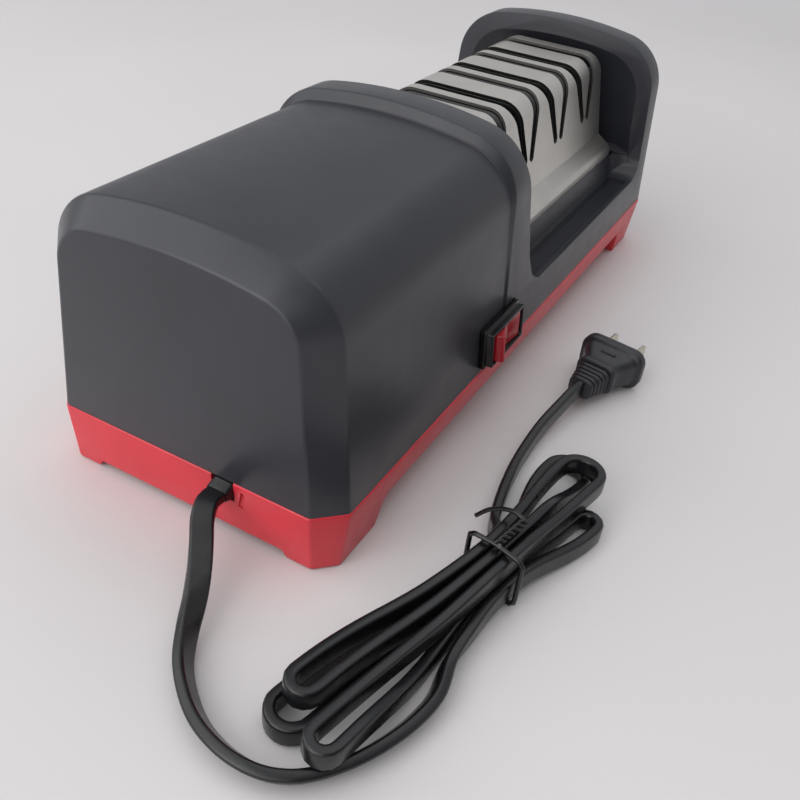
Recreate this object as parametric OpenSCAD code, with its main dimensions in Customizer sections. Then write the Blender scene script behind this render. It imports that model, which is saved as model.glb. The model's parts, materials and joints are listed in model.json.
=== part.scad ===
// Electric knife sharpener: four sharpening stages under a slotted steel cover,
// driven by a small induction motor. X runs from the cord end to the far end,
// Y to the side away from the switch, and Z up. All sizes are in millimetres.

/* [Body] */
// Length of the whole body
body_len = 304; // [300:1:330]
// Width of the body where the housing meets the base
body_w = 110; // [106:1:120]
// Height of the red base, feet included
base_h = 23; // [22:0.5:26]
// Corner cut of the base and length of the bevel on each end
corner = 8.5; // [6:0.5:10]
// Height of the motor cover beside its rounded top edges
cover_h = 97; // [94:0.5:102]
// Extra height of the motor cover along its middle
crown = 2.4; // [1:0.2:4]
// How far each side leans in between the base and the top
lean = 7.3; // [5:0.1:9]
// Radius of the long top edges
edge_r = 22; // [16:0.5:24]
// How far the end faces step in from the bevel's outer edge
end_inset = 7.5; // [5:0.5:9]
// Wall of the housing and of the base
wall = 2.5; // [2:0.1:3]

/* [Window] */
// Where the motor cover ends and the shoulder starts
shoulder_x = 115.5; // [112:0.5:118]
// How far the shoulder and the hoop stand above the motor cover
shoulder_rise = 4; // [3:0.25:5]
// Start of the open window, behind the shoulder
window_x = 130; // [128:0.5:132]
// Length of the hoop behind the window, with its bevel
hoop_l = 22; // [20:0.5:23]
// Height of the side rails
rail_z = 38.7; // [37:0.1:40]
// Height of the trough's floor beside the deck
trough_z = 35; // [33:0.25:36]
// Height of the raised deck under the steel cover
deck_z = 48; // [46:0.5:49]
// Half width of the deck at its top
deck_half = 39.2; // [38.6:0.1:40.5]

/* [Steel cover] */
// Height of the steel cover's flat top
plate_top = 93.5; // [91:0.5:95]
// Thickness of the steel sheet
plate_t = 1; // [0.8:0.1:1.5]
// Half width of the steel cover at its feet
plate_half = 38.8; // [36.5:0.1:39]
// Height of the lowest point of each knife slot
slot_low = 68; // [66:0.5:70]
// Width of a knife slot at the top
slot_top_w = 8; // [7.4:0.2:9]
// Width of a knife slot at its lower end
slot_low_w = 4.6; // [4:0.2:5]
// Distance between the two slots of a stage at their lower ends
slot_low_gap = 6.8; // [6.6:0.1:8]
// Distance between the two slots of a stage at the top
slot_top_gap = 22; // [20:0.5:23]
// Room from the start of the window to the middle of the first stage
first_room = 21; // [20.5:0.1:22]
// Room from the middle of the last stage to the end of the window
last_room = 27.5; // [27:0.5:29]

/* [Drive] */
// Height of the shaft
shaft_z = 50; // [49.5:0.25:51]
// Diameter of the motor's shaft
motor_shaft_d = 6; // [5:0.5:7]
// Diameter of the shaft that carries the discs
disc_shaft_d = 8; // [7:0.5:9]
// Diameter of an abrasive disc
disc_d = 44; // [40:1:45]
// Thickness of an abrasive disc
disc_t = 2.3; // [2:0.1:2.4]
// Running clearance of a shaft in its bushes, on the radius
run_gap = 0.04; // [0.02:0.01:0.08]
// Clearance between pieces that are assembled and stay still
seat_gap = 0.3; // [0.2:0.05:0.4]
// Thickness of the motor's lamination stack
stack_t = 28; // [24:1:32]
// Width of the motor's lamination stack
stack_w = 60; // [54:1:64]
// Middle of the lamination stack along the body
motor_x = 60; // [56:1:62]

/* [Switch] */
// Length of the switch's bezel
bezel_l = 30; // [28:0.5:32]
// Height of the switch's bezel
bezel_h = 15; // [14:0.5:16]
// Thickness of the switch's bezel
bezel_t = 2.3; // [2:0.1:3]
// How far the switch's collar stands out in front of the bezel
collar_t = 2.6; // [2:0.1:3]
// Middle of the switch along the body
switch_x = 111; // [108:0.5:112]
// Middle of the switch above the table
switch_z = 33; // [32.5:0.25:34]
// Tilt of the rocker at each end of its travel
rocker_tilt = 9; // [7:0.5:10]

/* [Cord] */
// Width of the flat cord
cord_w = 7; // [6.6:0.1:7]
// Thickness of the flat cord
cord_t = 3.5; // [3.2:0.1:3.5]
// Width of the plug's face
plug_w = 27; // [25:0.5:28]
// Height of the plug's face
plug_h = 17; // [16:0.5:18]
// Distance between the plug's two blades
blade_gap = 12.7; // [12.5:0.1:12.9]

/* [Hidden] */
$fn = 48;
hull_fn = 32;
sliver = 0.01;
through = 1;

// Fasteners and small parts that come in standard sizes
screw_d = 3.3;
screw_hole_d = 3.7;
screw_head_d = 6.6;
screw_head_t = 2.2;
guide_screw_l = 10;
block_screw_l = 15;
clamp_screw_l = 9;
motor_foot_screw_l = 8;
motor_screw_end = 6;
boss_d = 8.5;
foot_d = 12;
foot_h = 4.3;
foot_hole_d = 5;
foot_hole_h = 2;
foot_show = 0.8;

// ---- derived sizes of the housing ----
half_w = body_w / 2;
top_half = half_w - lean;
lean_angle = atan(lean / (cover_h - base_h));
window_end = body_len - hoop_l;
hoop_end = body_len - corner;
band_x = shoulder_x + 2.2;
bulkhead_x = window_x - wall;

function side_y(z) = half_w - (z - base_h) * tan(lean_angle);

// Points of an arc, from angle a to angle b in n steps
function arc(cy, cz, r, a, b, n) =
    [for (i = [0:n]) let (t = a + (b - a) * i / n) [cy + r * cos(t), cz + r * sin(t)]];
function mirrored(pts) = [for (i = [len(pts) - 1:-1:0]) [-pts[i][0], pts[i][1]]];

// Outline across the body: leaning sides, rounded top edges and a slightly domed top.
// d moves the whole outline inwards.
function outline(low, top, high, dome, r, d) =
    let (
        a = atan((low - top) / (high - base_h)),
        rr = max(r - d, 1),
        cz = high - r,
        cy = low - (cz - base_h) * tan(a) - r / cos(a),
        side = arc(cy, cz, rr, a, 84, 7),
        steps = 5,
        half = concat(
            [[low - d / cos(a), base_h]],
            side,
            [for (i = [1:steps]) let (y = cy * (1 - i / steps))
                [y, high - d + dome * (1 - pow(y / (cy + r), 2))]])
    )
    concat(half, mirrored([for (i = [0:len(half) - 2]) half[i]]));

// A solid of that outline between two places along the body
module slab(x0, x1, pts) {
    translate([x0, 0, 0]) rotate([90, 0, 90]) linear_extrude(x1 - x0) polygon(pts);
}
module loft(x0, pts0, x1, pts1) {
    hull() {
        slab(x0, x0 + sliver, pts0);
        slab(x1 - sliver, x1, pts1);
    }
}
// A solid whose outline is seen from the switch side, across the whole body
module side_cut(pts, y0, y1) {
    translate([0, y1, 0]) rotate([90, 0, 0]) linear_extrude(y1 - y0) polygon(pts);
}

motor_out = outline(half_w, top_half, cover_h, crown, edge_r, 0);
motor_in = outline(half_w, top_half, cover_h, crown, edge_r, wall);
band_out = outline(half_w, top_half + 1.3, cover_h + shoulder_rise, crown, edge_r + 1, 0);
band_in = outline(half_w, top_half + 1.3, cover_h + shoulder_rise, crown, edge_r + 1, wall);
end_low = half_w - corner;
end_out = outline(end_low, top_half - end_inset, cover_h - end_inset, crown,
    edge_r - end_inset, 0);
end_in = outline(end_low, top_half - end_inset, cover_h - end_inset, crown,
    edge_r - end_inset, wall);
far_out = outline(end_low, top_half - end_inset, cover_h + shoulder_rise - end_inset, crown,
    edge_r - end_inset, 0);
far_in = outline(end_low, top_half - end_inset, cover_h + shoulder_rise - end_inset, crown,
    edge_r - end_inset, wall);

// ---- derived sizes of the steel cover ----
plate_x0 = window_x + seat_gap;
plate_x1 = window_end - 5.5;
plate_corner = 9.5;
plate_lean = 10.9;
// Half width that the leaning sheet would have at the deck
lean_foot = 33.3;
// The step at the foot: its height, its slope, its round edge and the crease above it
step_rise = 9;
step_fall = 34;
step_r = 4;
crease_r = 1.5;
function plate_y(z) = lean_foot - (z - deck_z) * tan(plate_lean);
// The leaning sheet's round top edge, d inside the outer face
function plate_top_edge(d) =
    let (z = plate_top - plate_corner, y = plate_y(z) - plate_corner / cos(plate_lean))
    arc(y, z, plate_corner - d, plate_lean, 90, 7);
// The stepped foot: an upright wall on the deck, a round edge, a sloping ledge and the crease
function plate_foot(d) =
    let (
        sheet = [cos(plate_lean), sin(plate_lean)],
        ledge = [sin(step_fall), cos(step_fall)],
        crease = [plate_y(deck_z + step_rise), deck_z + step_rise],
        c = crease + crease_r / (1 + sheet * ledge) * (sheet + ledge),
        y = plate_half - step_r,
        z = (crease * ledge - step_r - y * ledge[0]) / ledge[1]
    )
    concat(
        [[plate_half - d, deck_z]],
        arc(y, z, step_r - d, 0, 90 - step_fall, 4),
        arc(c[0], c[1], crease_r + d, 270 - step_fall, 180 + plate_lean, 3));
function plate_half_outline(d) = concat(plate_foot(d), plate_top_edge(d));
plate_outer = plate_half_outline(0);
plate_inner = plate_half_outline(plate_t);

// ---- derived places of the stages ----
stage_count = 4;
stage_x = window_x + first_room;
stage_pitch = (window_end - last_room - stage_x) / (stage_count - 1);
function stage_at(i) = stage_x + (i - 1) * stage_pitch;
deck_hole_x0 = plate_x0 + 1.5;
deck_hole_x1 = plate_x1 - 1.5;
slot_top_z = plate_top + 5;
slot_rise = slot_top_z - slot_low;
slot_shift = (slot_top_gap - slot_low_gap) / 2 * slot_rise / (plate_top - slot_low);
disc_gap = slot_low_gap / 2 - disc_t;
hub_d = 16;
hub_half = 11;
guide_half = stage_pitch / 2 - seat_gap;
guide_floor = deck_z + plate_t;
guide_hole_half = 25;
tab_y0 = guide_hole_half + 1;
guide_screw_y = guide_hole_half + screw_head_d / 2 + 0.5;
guide_screw_top = deck_z - wall - screw_head_t + guide_screw_l;
guide_room_half = slot_low_gap / 2 + 1.6;

// ---- derived sizes of the base ----
floor_z = 12;
floor_top = floor_z + wall;
leg_len = 29.5;
leg_slope = 2.2;
leg_z = foot_show;
base_draft = 2.6;
end_cut_z = 3;
end_cut_half = 36;
notch_y = -15.5;
notch_w = 8.2;
notch_h = 8;
base_screw_x = [23, body_len - 23];
base_screw_y = half_w - 7.5;
mid_screw_x = window_x + 4;
mid_screw_y = base_screw_y;
foot_x = 12.5;
foot_y0 = half_w - 13;

// ---- derived places of the drive ----
stack_x0 = motor_x - stack_t / 2;
stack_x1 = motor_x + stack_t / 2;
stack_drop = 16;
rotor_block = 17;
stack_low = shaft_z - stack_drop;
rotor_d = 27.4;
bore_d = 28.6;
// the coil's limb and both sides of the coil share the height between rotor and cover
coil_top_gap = 3;
coil_room = cover_h - wall - coil_top_gap - shaft_z - rotor_block;
limb = 0.37 * coil_room;
coil_side = 0.22 * coil_room;
stack_high = cover_h - wall - coil_top_gap - coil_side;
limb_low = stack_high - limb;
coil_low = limb_low - coil_side;
bracket_t = 2;
bracket_top_w = 16;
bracket_top = 9;
bracket_strip = 8;
rear_spacer = 10;
front_spacer = 10;
bracket_rear_x = stack_x0 - rear_spacer - bracket_t;
bracket_front_x = stack_x1 + front_spacer;
shaft_boss_l = 6;
shaft_boss_d = 19;
fan_hub_d = 14;
bush_d = 14;
bush_l = 8;
fan_x = bracket_rear_x - 20;
fan_l = 12;
fan_d = 48;
motor_shaft_x0 = fan_x - 4;
coupling_x0 = bracket_front_x + 10;
coupling_l = 22;
coupling_d = 20;
motor_shaft_x1 = coupling_x0 + coupling_l / 2 - 0.5;
disc_shaft_x0 = coupling_x0 + coupling_l / 2 + 0.5;
block_t = 7;
block_near_x = bulkhead_x - 1 - block_t;
block_far_x = deck_hole_x1 - seat_gap - block_t;
disc_shaft_x1 = block_far_x + block_t;
block_bush_d = 14;
block_half = 22;
foot_plate_h = 4;
foot_plate_l = 10;
motor_foot_y = stack_w / 2 - 5;

// ---- derived places of the cord's entry ----
relief_out = 3;
relief_in = 17;
cord_in = 30;
clamp_x = 19;
clamp_t = 2;
clamp_z = base_h - notch_h / 2 - 0.2;
clamp_low = clamp_z + cord_t / 2 + 0.1;

// ---- derived sizes of the switch ----
collar_l = bezel_l - 2;
collar_h = bezel_h - 2;
key_l = bezel_l - 6.4;
key_h = bezel_h - 4.4;
key_room_l = bezel_l - 3.9;
key_room_h = key_h + 2 * seat_gap;
barrel_l = bezel_l - 3.4;
barrel_h = bezel_h - 1.8;
barrel_depth = 17;
key_pivot = 0.4;
key_half = key_l / 2;
key_front = 6.5;
key_dip = 4;
term_end = 25;
key_pin_d = 2;
bezel_seat = 0.1;

// ---- the body's place: its box is centred on the origin, with the rocker's tip counted ----
tip_out = key_half * sin(rocker_tilt) + key_front * cos(rocker_tilt) - key_pivot;
shift_y = (side_y(switch_z) + tip_out * cos(lean_angle) - half_w) / 2;
module place() translate([-body_len / 2, shift_y, 0]) children();

// ---- screws ----
module screw(at, length, up) {
    translate(at) rotate([up ? 0 : 180, 0, 0]) {
        cylinder(d = screw_head_d, h = screw_head_t);
        cylinder(d = screw_d, h = length);
    }
}

// ---- housing ----
boss_top = base_h + 20;
boss_gap = 0.2;
boss_web = half_w - base_screw_y - 1.8;
module at_base_screws() {
    for (x = base_screw_x, s = [-1, 1]) translate([x, s * base_screw_y, 0]) children();
    for (s = [-1, 1]) translate([mid_screw_x, s * mid_screw_y, 0]) children();
}

window_side = concat(
    [[window_x, cover_h + 20], [window_x, 90], [window_x + 2, 76], [window_x + 6.5, 56],
     [window_x + 9, 49], [window_x + 13, 43], [window_x + 19.5, rail_z],
     [window_end - 9, rail_z]],
    [for (a = [20:20:80]) [window_end - 9 + 10 * sin(a), rail_z + 10 - 10 * cos(a)]],
    [[window_end + 1, 60], [window_end, 76], [window_end, cover_h + 20]]);
trough = [[deck_half + 3, trough_z], [side_y(rail_z) - 2.2, rail_z - 1.2],
    [side_y(rail_z) - 1.6, rail_z + 1], [deck_half + 3, rail_z + 1]];

module housing_outside() {
    loft(0, end_out, corner, motor_out);
    slab(corner, shoulder_x, motor_out);
    loft(shoulder_x, motor_out, band_x, band_out);
    slab(band_x, hoop_end, band_out);
    loft(hoop_end, band_out, body_len, far_out);
}
module window_opening() {
    difference() {
        side_cut(window_side, -half_w - through, half_w + through);
        // the raised deck stays
        slab(window_x - through, window_end + through,
            [[deck_half + 3, 0], [deck_half + 3, trough_z], [deck_half, deck_z],
             [-deck_half, deck_z], [-deck_half - 3, trough_z], [-deck_half - 3, 0]]);
    }
    for (s = [0, 1]) mirror([0, s, 0])
        slab(window_x + 19.5, window_end - 9, trough);
    // upright walls at both ends of the steel cover
    translate([window_x, -deck_half, deck_z])
        cube([window_end - window_x, 2 * deck_half, cover_h]);
}
module hoop_dish() {
    dish_depth = 6;
    dish = [for (p = band_out) [p[0] * 0.86, deck_z + 3 + (p[1] - deck_z - 3) * 0.86]];
    dish_floor = [for (p = band_out) [p[0] * 0.7, deck_z + 8 + (p[1] - deck_z - 8) * 0.66]];
    up = [for (p = dish) [p[0], max(p[1], deck_z)]];
    up_floor = [for (p = dish_floor) [p[0], max(p[1], deck_z + 2)]];
    loft(window_end - sliver, up, window_end + dish_depth, up_floor);
}
module housing_inside() {
    loft(wall, end_in, corner + wall, motor_in);
    slab(corner + wall - sliver, shoulder_x + wall, motor_in);
    slab(shoulder_x + wall - sliver, bulkhead_x, band_in);
    // under the deck and the rails
    slab(bulkhead_x - sliver, hoop_end - wall, [
        [side_y(base_h) - wall, base_h - through], [side_y(trough_z) - wall - 0.4, trough_z - wall],
        [deck_half + 1.2, trough_z - wall], [deck_half - wall, deck_z - wall],
        [-deck_half + wall, deck_z - wall], [-deck_half - 1.2, trough_z - wall],
        [-side_y(trough_z) + wall + 0.4, trough_z - wall], [-side_y(base_h) + wall, base_h - through]]);
    // inside the hoop
    difference() {
        slab(window_end + 6 + wall, hoop_end - sliver, band_in);
        translate([0, -half_w, 0]) cube([body_len, body_w, base_h - through]);
    }
    loft(hoop_end - 2 * sliver, band_in, body_len - wall, far_in);
}
module upper_housing() {
    color("#2b2c2f") place() difference() {
        union() {
            difference() {
                housing_outside();
                housing_inside();
                window_opening();
                hoop_dish();
            }
            intersection() {
                at_base_screws() translate([0, 0, base_h + boss_gap]) {
                    cylinder(d = boss_d, h = boss_top - base_h);
                    // web that joins the boss to the side wall
                    translate([-1.2, -boss_web, 0]) cube([2.4, 2 * boss_web, boss_top - base_h]);
                }
                translate([wall, -half_w, base_h])
                    cube([body_len - 2 * wall, body_w, trough_z - base_h]);
            }
        }
        at_base_screws() translate([0, 0, base_h - through])
            cylinder(d = screw_hole_d, h = trough_z - base_h - wall + through);
        // opening in the deck for the discs and the guides
        translate([deck_hole_x0, -guide_hole_half, deck_z - wall - through])
            cube([deck_hole_x1 - deck_hole_x0, 2 * guide_hole_half, wall + 2 * through]);
        // way through the bulkhead for the shaft
        translate([bulkhead_x - through, -guide_hole_half / 2, deck_z - wall - through])
            cube([wall + 4, guide_hole_half, 16]);
        // holes for the screws of the guides and the steel cover
        at_guide_screws() translate([0, 0, deck_z - wall - through])
            cylinder(d = screw_hole_d, h = wall + 2 * through);
        // flat seat for the switch's bezel, and the hole for its barrel
        at_switch() translate([-bezel_l / 2 - seat_gap, -through, -bezel_h / 2 - seat_gap])
            cube([bezel_l + 2 * seat_gap, through + bezel_seat, bezel_h + 2 * seat_gap]);
        at_switch() translate([-barrel_l / 2 - seat_gap, -through, -barrel_h / 2 - seat_gap])
            cube([barrel_l + 2 * seat_gap, 2 * wall + 2, barrel_h + 2 * seat_gap]);
    }
}

// ---- base ----
function base_outline(d) = let (h = half_w - d, c = corner + 0.4 * d, x0 = d, x1 = body_len - d)
    [[x0, -h + c], [x0 + c, -h], [x1 - c, -h], [x1, -h + c],
     [x1, h - c], [x1 - c, h], [x0 + c, h], [x0, h - c]];
module base_block(z0, d0, z1, d1) {
    hull() {
        translate([0, 0, z0]) linear_extrude(sliver) polygon(base_outline(d0));
        translate([0, 0, z1 - sliver]) linear_extrude(sliver) polygon(base_outline(d1));
    }
}
module base_shape() {
    difference() {
        base_block(leg_z, base_draft, base_h, 0);
        // open below between the legs
        side_cut([[leg_len, -through], [leg_len + leg_slope, floor_z - 2.5],
            [leg_len + 2 * leg_slope, floor_z], [body_len - leg_len - 2 * leg_slope, floor_z],
            [body_len - leg_len - leg_slope, floor_z - 2.5], [body_len - leg_len, -through]],
            -half_w - through, half_w + through);
        // shallow cut under each end
        for (x = [-through, body_len - leg_len])
            translate([x, 0, 0]) rotate([90, 0, 90]) linear_extrude(leg_len + through)
                polygon([[-end_cut_half - 2, -through], [-end_cut_half, end_cut_z],
                    [end_cut_half, end_cut_z], [end_cut_half + 2, -through]]);
        // hollow from above, between the floor and the housing
        base_block(floor_top, wall + 0.6, base_h + through, wall);
        // hollow under each end, which leaves the legs as walls
        for (x = [wall + base_draft, body_len - leg_len + wall])
            translate([x, -half_w + wall + 6, -through])
                cube([leg_len - 2 * wall - base_draft, body_w - 2 * wall - 12, floor_z + through]);
    }
    at_base_screws() translate([0, 0, floor_top - sliver])
        cylinder(d = boss_d, h = base_h - floor_top);
    for (x = [foot_x, body_len - foot_x], s = [-1, 1]) translate([x, s * foot_y0, leg_z])
        cylinder(d = foot_d + 3, h = floor_z - leg_z + sliver);
    // pads that carry the motor, and posts that carry the cord's clamp
    for (x = [bracket_rear_x + bracket_t - foot_plate_l, bracket_front_x], s = [-1, 1])
        translate([x - 0.5, s * motor_foot_y - 5, floor_top - sliver])
            cube([foot_plate_l + 1, 10, foot_plate_h + sliver]);
    at_clamp_screws() translate([0, 0, floor_top - sliver])
        cylinder(d = 7, h = clamp_low - floor_top + sliver);
}
module vents() {
    for (i = [0:6]) translate([bracket_rear_x + 12 + i * 5, -18, floor_z - through])
        cube([2.4, 36, wall + 2 * through]);
}
module base_tray() {
    color("#b5303a") place() difference() {
        base_shape();
        // screws come up through the legs and the floor
        at_base_screws() {
            translate([0, 0, -through]) cylinder(d = screw_hole_d, h = base_h + 2 * through);
            translate([0, 0, -through]) cylinder(d = screw_head_d + 1, h = floor_z - 1 + through);
        }
        for (x = [foot_x, body_len - foot_x], s = [-1, 1])
            translate([x, s * foot_y0, -through]) cylinder(d = foot_d + 0.4, h = through + foot_h + 0.2);
        vents();
        translate([-through, notch_y - notch_w / 2, base_h - notch_h])
            cube([wall + 2 * through + 0.6, notch_w, notch_h + through]);
        // small wedge moulded beside the cord
        translate([-through, notch_y - notch_w / 2 - 2.8, base_h - 9.5]) rotate([12, 0, 0])
            cube([through + 1.1, 1.6, 7]);
        at_motor_feet() translate([0, 0, floor_z + through])
            cylinder(d = screw_hole_d, h = foot_plate_h + wall);
        at_clamp_screws() translate([0, 0, floor_z + through])
            cylinder(d = screw_hole_d, h = clamp_low - floor_z);
        at_block_feet() {
            translate([0, 0, -through]) cylinder(d = screw_head_d + 1, h = floor_z + through);
            translate([0, 0, floor_z - through])
                cylinder(d = screw_hole_d, h = wall + 2 * through);
        }
    }
}
module rubber_feet() {
    color("#26262a") place() for (x = [foot_x, body_len - foot_x], s = [-1, 1])
        translate([x, s * foot_y0, 0]) difference() {
            cylinder(d = foot_d, h = foot_h);
            translate([0, 0, foot_h - foot_hole_h])
                cylinder(d = foot_hole_d, h = foot_hole_h + through);
        }
}

// ---- steel cover and knife guides ----
module slot_cut(i, side, grow) {
    low_c = side * slot_low_gap / 2;
    low_w = slot_low_w / 2 + grow;
    top_w = slot_top_w / 2 + grow;
    low_z = slot_low + slot_low_w / 2;
    translate([stage_at(i), 0, 0]) {
        side_cut([[low_c - low_w, low_z], [low_c + low_w, low_z],
            [low_c + side * slot_shift + top_w, slot_top_z],
            [low_c + side * slot_shift - top_w, slot_top_z]], -half_w, half_w);
        translate([low_c, 0, low_z]) rotate([90, 0, 0])
            cylinder(r = low_w, h = body_w, center = true);
    }
}
module at_guide_screws() {
    for (i = [1:stage_count], s = [-1, 1])
        translate([stage_at(i), s * guide_screw_y, 0]) children();
}
module slotted_cover() {
    color("#c4bfb8") place() difference() {
        union() {
            slab(plate_x0, plate_x1, concat(plate_outer, mirrored(plate_outer),
                plate_inner_loop()));
            // tabs turned in from the foot, under the guides
            for (i = [1:stage_count], s = [0, 1]) mirror([0, s, 0])
                translate([stage_at(i) - 5, tab_y0, deck_z])
                    cube([10, plate_half - plate_t / 2 - tab_y0, plate_t]);
        }
        for (i = [1:stage_count], side = [-1, 1]) slot_cut(i, side, 0);
        at_guide_screws() translate([0, 0, deck_z - through])
            cylinder(d = screw_hole_d, h = plate_t + 2 * through);
    }
}
function plate_inner_loop() =
    let (r = plate_inner, l = mirrored(plate_inner))
    concat([for (i = [len(l) - 1:-1:0]) l[i]], [for (i = [len(r) - 1:-1:0]) r[i]]);
module knife_guide(i) {
    // the block fills the cover, with room for the discs and both slots cut through
    inset = plate_t + seat_gap;
    body = concat([[plate_y(guide_floor) - inset / cos(plate_lean), guide_floor]],
        plate_top_edge(inset));
    x0 = max(stage_at(i) - guide_half, plate_x0 + 3);
    x1 = min(stage_at(i) + guide_half, block_far_x - seat_gap);
    color("#1e1f22") place() difference() {
        slab(x0, x1, concat(body, mirrored(body)));
        for (side = [-1, 1]) slot_cut(i, side, 0);
        // room for the discs and their hub
        translate([stage_at(i) - guide_room_half, 0, shaft_z]) rotate([0, 90, 0])
            cylinder(d = disc_d + 3, h = 2 * guide_room_half);
        translate([x0 - through, 0, shaft_z]) rotate([0, 90, 0])
            cylinder(d = hub_d + 3, h = x1 - x0 + 2 * through);
        translate([stage_at(i) - guide_room_half, -disc_d / 2 - 1.5, deck_z - through])
            cube([2 * guide_room_half, disc_d + 3, shaft_z - deck_z + through]);
        translate([x0 - through, -hub_d / 2 - 1.5, deck_z - through])
            cube([x1 - x0 + 2 * through, hub_d + 3, shaft_z - deck_z + through]);
        for (s = [-1, 1]) translate([stage_at(i), s * guide_screw_y, guide_floor - through])
            cylinder(d = screw_hole_d, h = guide_screw_top + 1 - guide_floor + through);
    }
}
module knife_guide_1() { knife_guide(1); }
module knife_guide_2() { knife_guide(2); }
module knife_guide_3() { knife_guide(3); }
module knife_guide_4() { knife_guide(4); }

// ---- motor ----
module along_x(x0, x1, d) {
    translate([x0, 0, shaft_z]) rotate([0, 90, 0]) cylinder(d = d, h = x1 - x0);
}
module at_motor_feet() {
    for (x = [bracket_rear_x - 4, bracket_front_x + 6], s = [-1, 1])
        translate([x, s * motor_foot_y, 0]) children();
}
module at_motor_screws() {
    for (s = [-1, 1], z = [stack_low + 5, stack_high - 5])
        translate([0, s * (stack_w / 2 - 5), z]) children();
}
module motor_stator() {
    color("#8d9096") place() difference() {
        translate([stack_x0, -stack_w / 2, stack_low])
            cube([stack_t, stack_w, stack_high - stack_low]);
        along_x(stack_x0 - through, stack_x1 + through, bore_d);
        // window between the rotor block and the coil's limb
        translate([stack_x0 - through, -stack_w / 2 + limb, shaft_z + rotor_block])
            cube([stack_t + 2 * through, stack_w - 2 * limb, limb_low - shaft_z - rotor_block]);
        at_motor_screws() translate([stack_x0 - through, 0, 0]) rotate([0, 90, 0])
            cylinder(d = screw_hole_d, h = stack_t + 2 * through);
        // shading slots beside the bore
        for (s = [-1, 1]) translate([stack_x0 - through, s * (bore_d / 2 + 2) - 1, shaft_z - 4])
            cube([stack_t + 2 * through, 2, 8]);
    }
}
module motor_coil() {
    color("#b5722c") place() difference() {
        hull() for (x = [stack_x0 - coil_side + 2, stack_x1 + coil_side - 2],
                z = [limb_low - coil_side + 2, stack_high + coil_side - 2])
            translate([x, 0, z]) rotate([90, 0, 0])
                cylinder(r = 2, h = 2 * coil_half, center = true, $fn = hull_fn);
        translate([stack_x0 - seat_gap, -stack_w / 2, limb_low - seat_gap])
            cube([stack_t + 2 * seat_gap, stack_w, stack_high - limb_low + 2 * seat_gap]);
    }
}
module motor_rotor() {
    color("#9a9ca0") place() difference() {
        union() {
            along_x(stack_x0 + 0.5, stack_x1 - 0.5, rotor_d);
            along_x(stack_x0 - 2, stack_x1 + 2, rotor_d - 4);
        }
        along_x(stack_x0 - 3, stack_x1 + 3, motor_shaft_d + 0.1);
    }
}
module motor_shaft() {
    color("#c9cbce") place() along_x(motor_shaft_x0, motor_shaft_x1, motor_shaft_d);
}
module motor_bracket(x, out) {
    strip = bracket_strip;
    difference() {
        union() {
            hull() {
                translate([x, -bush_d, shaft_z - bush_d / 2]) cube([bracket_t, 2 * bush_d, bush_d]);
                translate([x, 2 - stack_w / 2, stack_low + 1]) cube([bracket_t, stack_w - 4, 6]);
                translate([x, -bracket_top_w / 2, stack_high - bracket_top])
                    cube([bracket_t, bracket_top_w, bracket_top / 2]);
            }
            // arms that carry the screws, and the feet on the base
            at_motor_screws() translate([x, -strip / 2, -strip / 2])
                cube([bracket_t, strip, strip]);
            for (s = [-1, 1]) {
                translate([x, s * (stack_w / 2 - 5) - strip / 2, stack_low + 1])
                    cube([bracket_t, strip, stack_high - stack_low - 2]);
                translate([x, s * motor_foot_y - strip / 2, floor_top + foot_plate_h])
                    cube([bracket_t, strip, stack_low + 2 - floor_top - foot_plate_h]);
                translate([out > 0 ? x : x + bracket_t - foot_plate_l, s * motor_foot_y - strip / 2,
                    floor_top + foot_plate_h]) cube([foot_plate_l, strip, bracket_t]);
            }
            translate([x, -stack_w / 2 + 1, stack_high - bracket_top])
                cube([bracket_t, stack_w - 2, strip]);
            along_x(x - (out > 0 ? 0 : shaft_boss_l - bracket_t),
                x + (out > 0 ? shaft_boss_l : bracket_t), shaft_boss_d);
            // spacers that meet the lamination stack
            at_motor_screws() translate([out > 0 ? stack_x1 : x + bracket_t - sliver, 0, 0])
                rotate([0, 90, 0])
                    cylinder(d = strip, h = (out > 0 ? front_spacer : rear_spacer) + sliver);
        }
        along_x(x - bush_l, x + bush_l, bush_d + 0.2);
        at_motor_screws() translate([x - front_spacer - through, 0, 0]) rotate([0, 90, 0])
            cylinder(d = screw_hole_d, h = 2 * (front_spacer + through) + bracket_t);
        at_motor_feet() translate([0, 0, floor_top]) cylinder(d = screw_hole_d, h = 9);
    }
}
module motor_bracket_rear() { color("#a6a9ae") place() motor_bracket(bracket_rear_x, -1); }
module motor_bracket_front() { color("#a6a9ae") place() motor_bracket(bracket_front_x, 1); }
module bush(x0, length, outer, inner) {
    difference() {
        along_x(x0, x0 + length, outer);
        along_x(x0 - through, x0 + length + through, inner + 2 * run_gap);
    }
}
module motor_bush_rear() {
    color("#a8803c") place() bush(bracket_rear_x - 5, bush_l, bush_d, motor_shaft_d);
}
module motor_bush_front() {
    color("#a8803c") place() bush(bracket_front_x - 1, bush_l, bush_d, motor_shaft_d);
}
module cooling_fan() {
    color("#d9d5c8") place() difference() {
        union() {
            along_x(fan_x, fan_x + fan_l, fan_hub_d);
            along_x(fan_x, fan_x + 1.6, fan_d);
            for (a = [0:45:315]) translate([fan_x, 0, shaft_z]) rotate([a, 0, 0])
                translate([0, fan_hub_d / 2 - 1, -0.7])
                    cube([fan_l, (fan_d - fan_hub_d + 1) / 2, 1.4]);
        }
        along_x(fan_x - through, fan_x + fan_l + through, motor_shaft_d + 0.1);
    }
}
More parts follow.
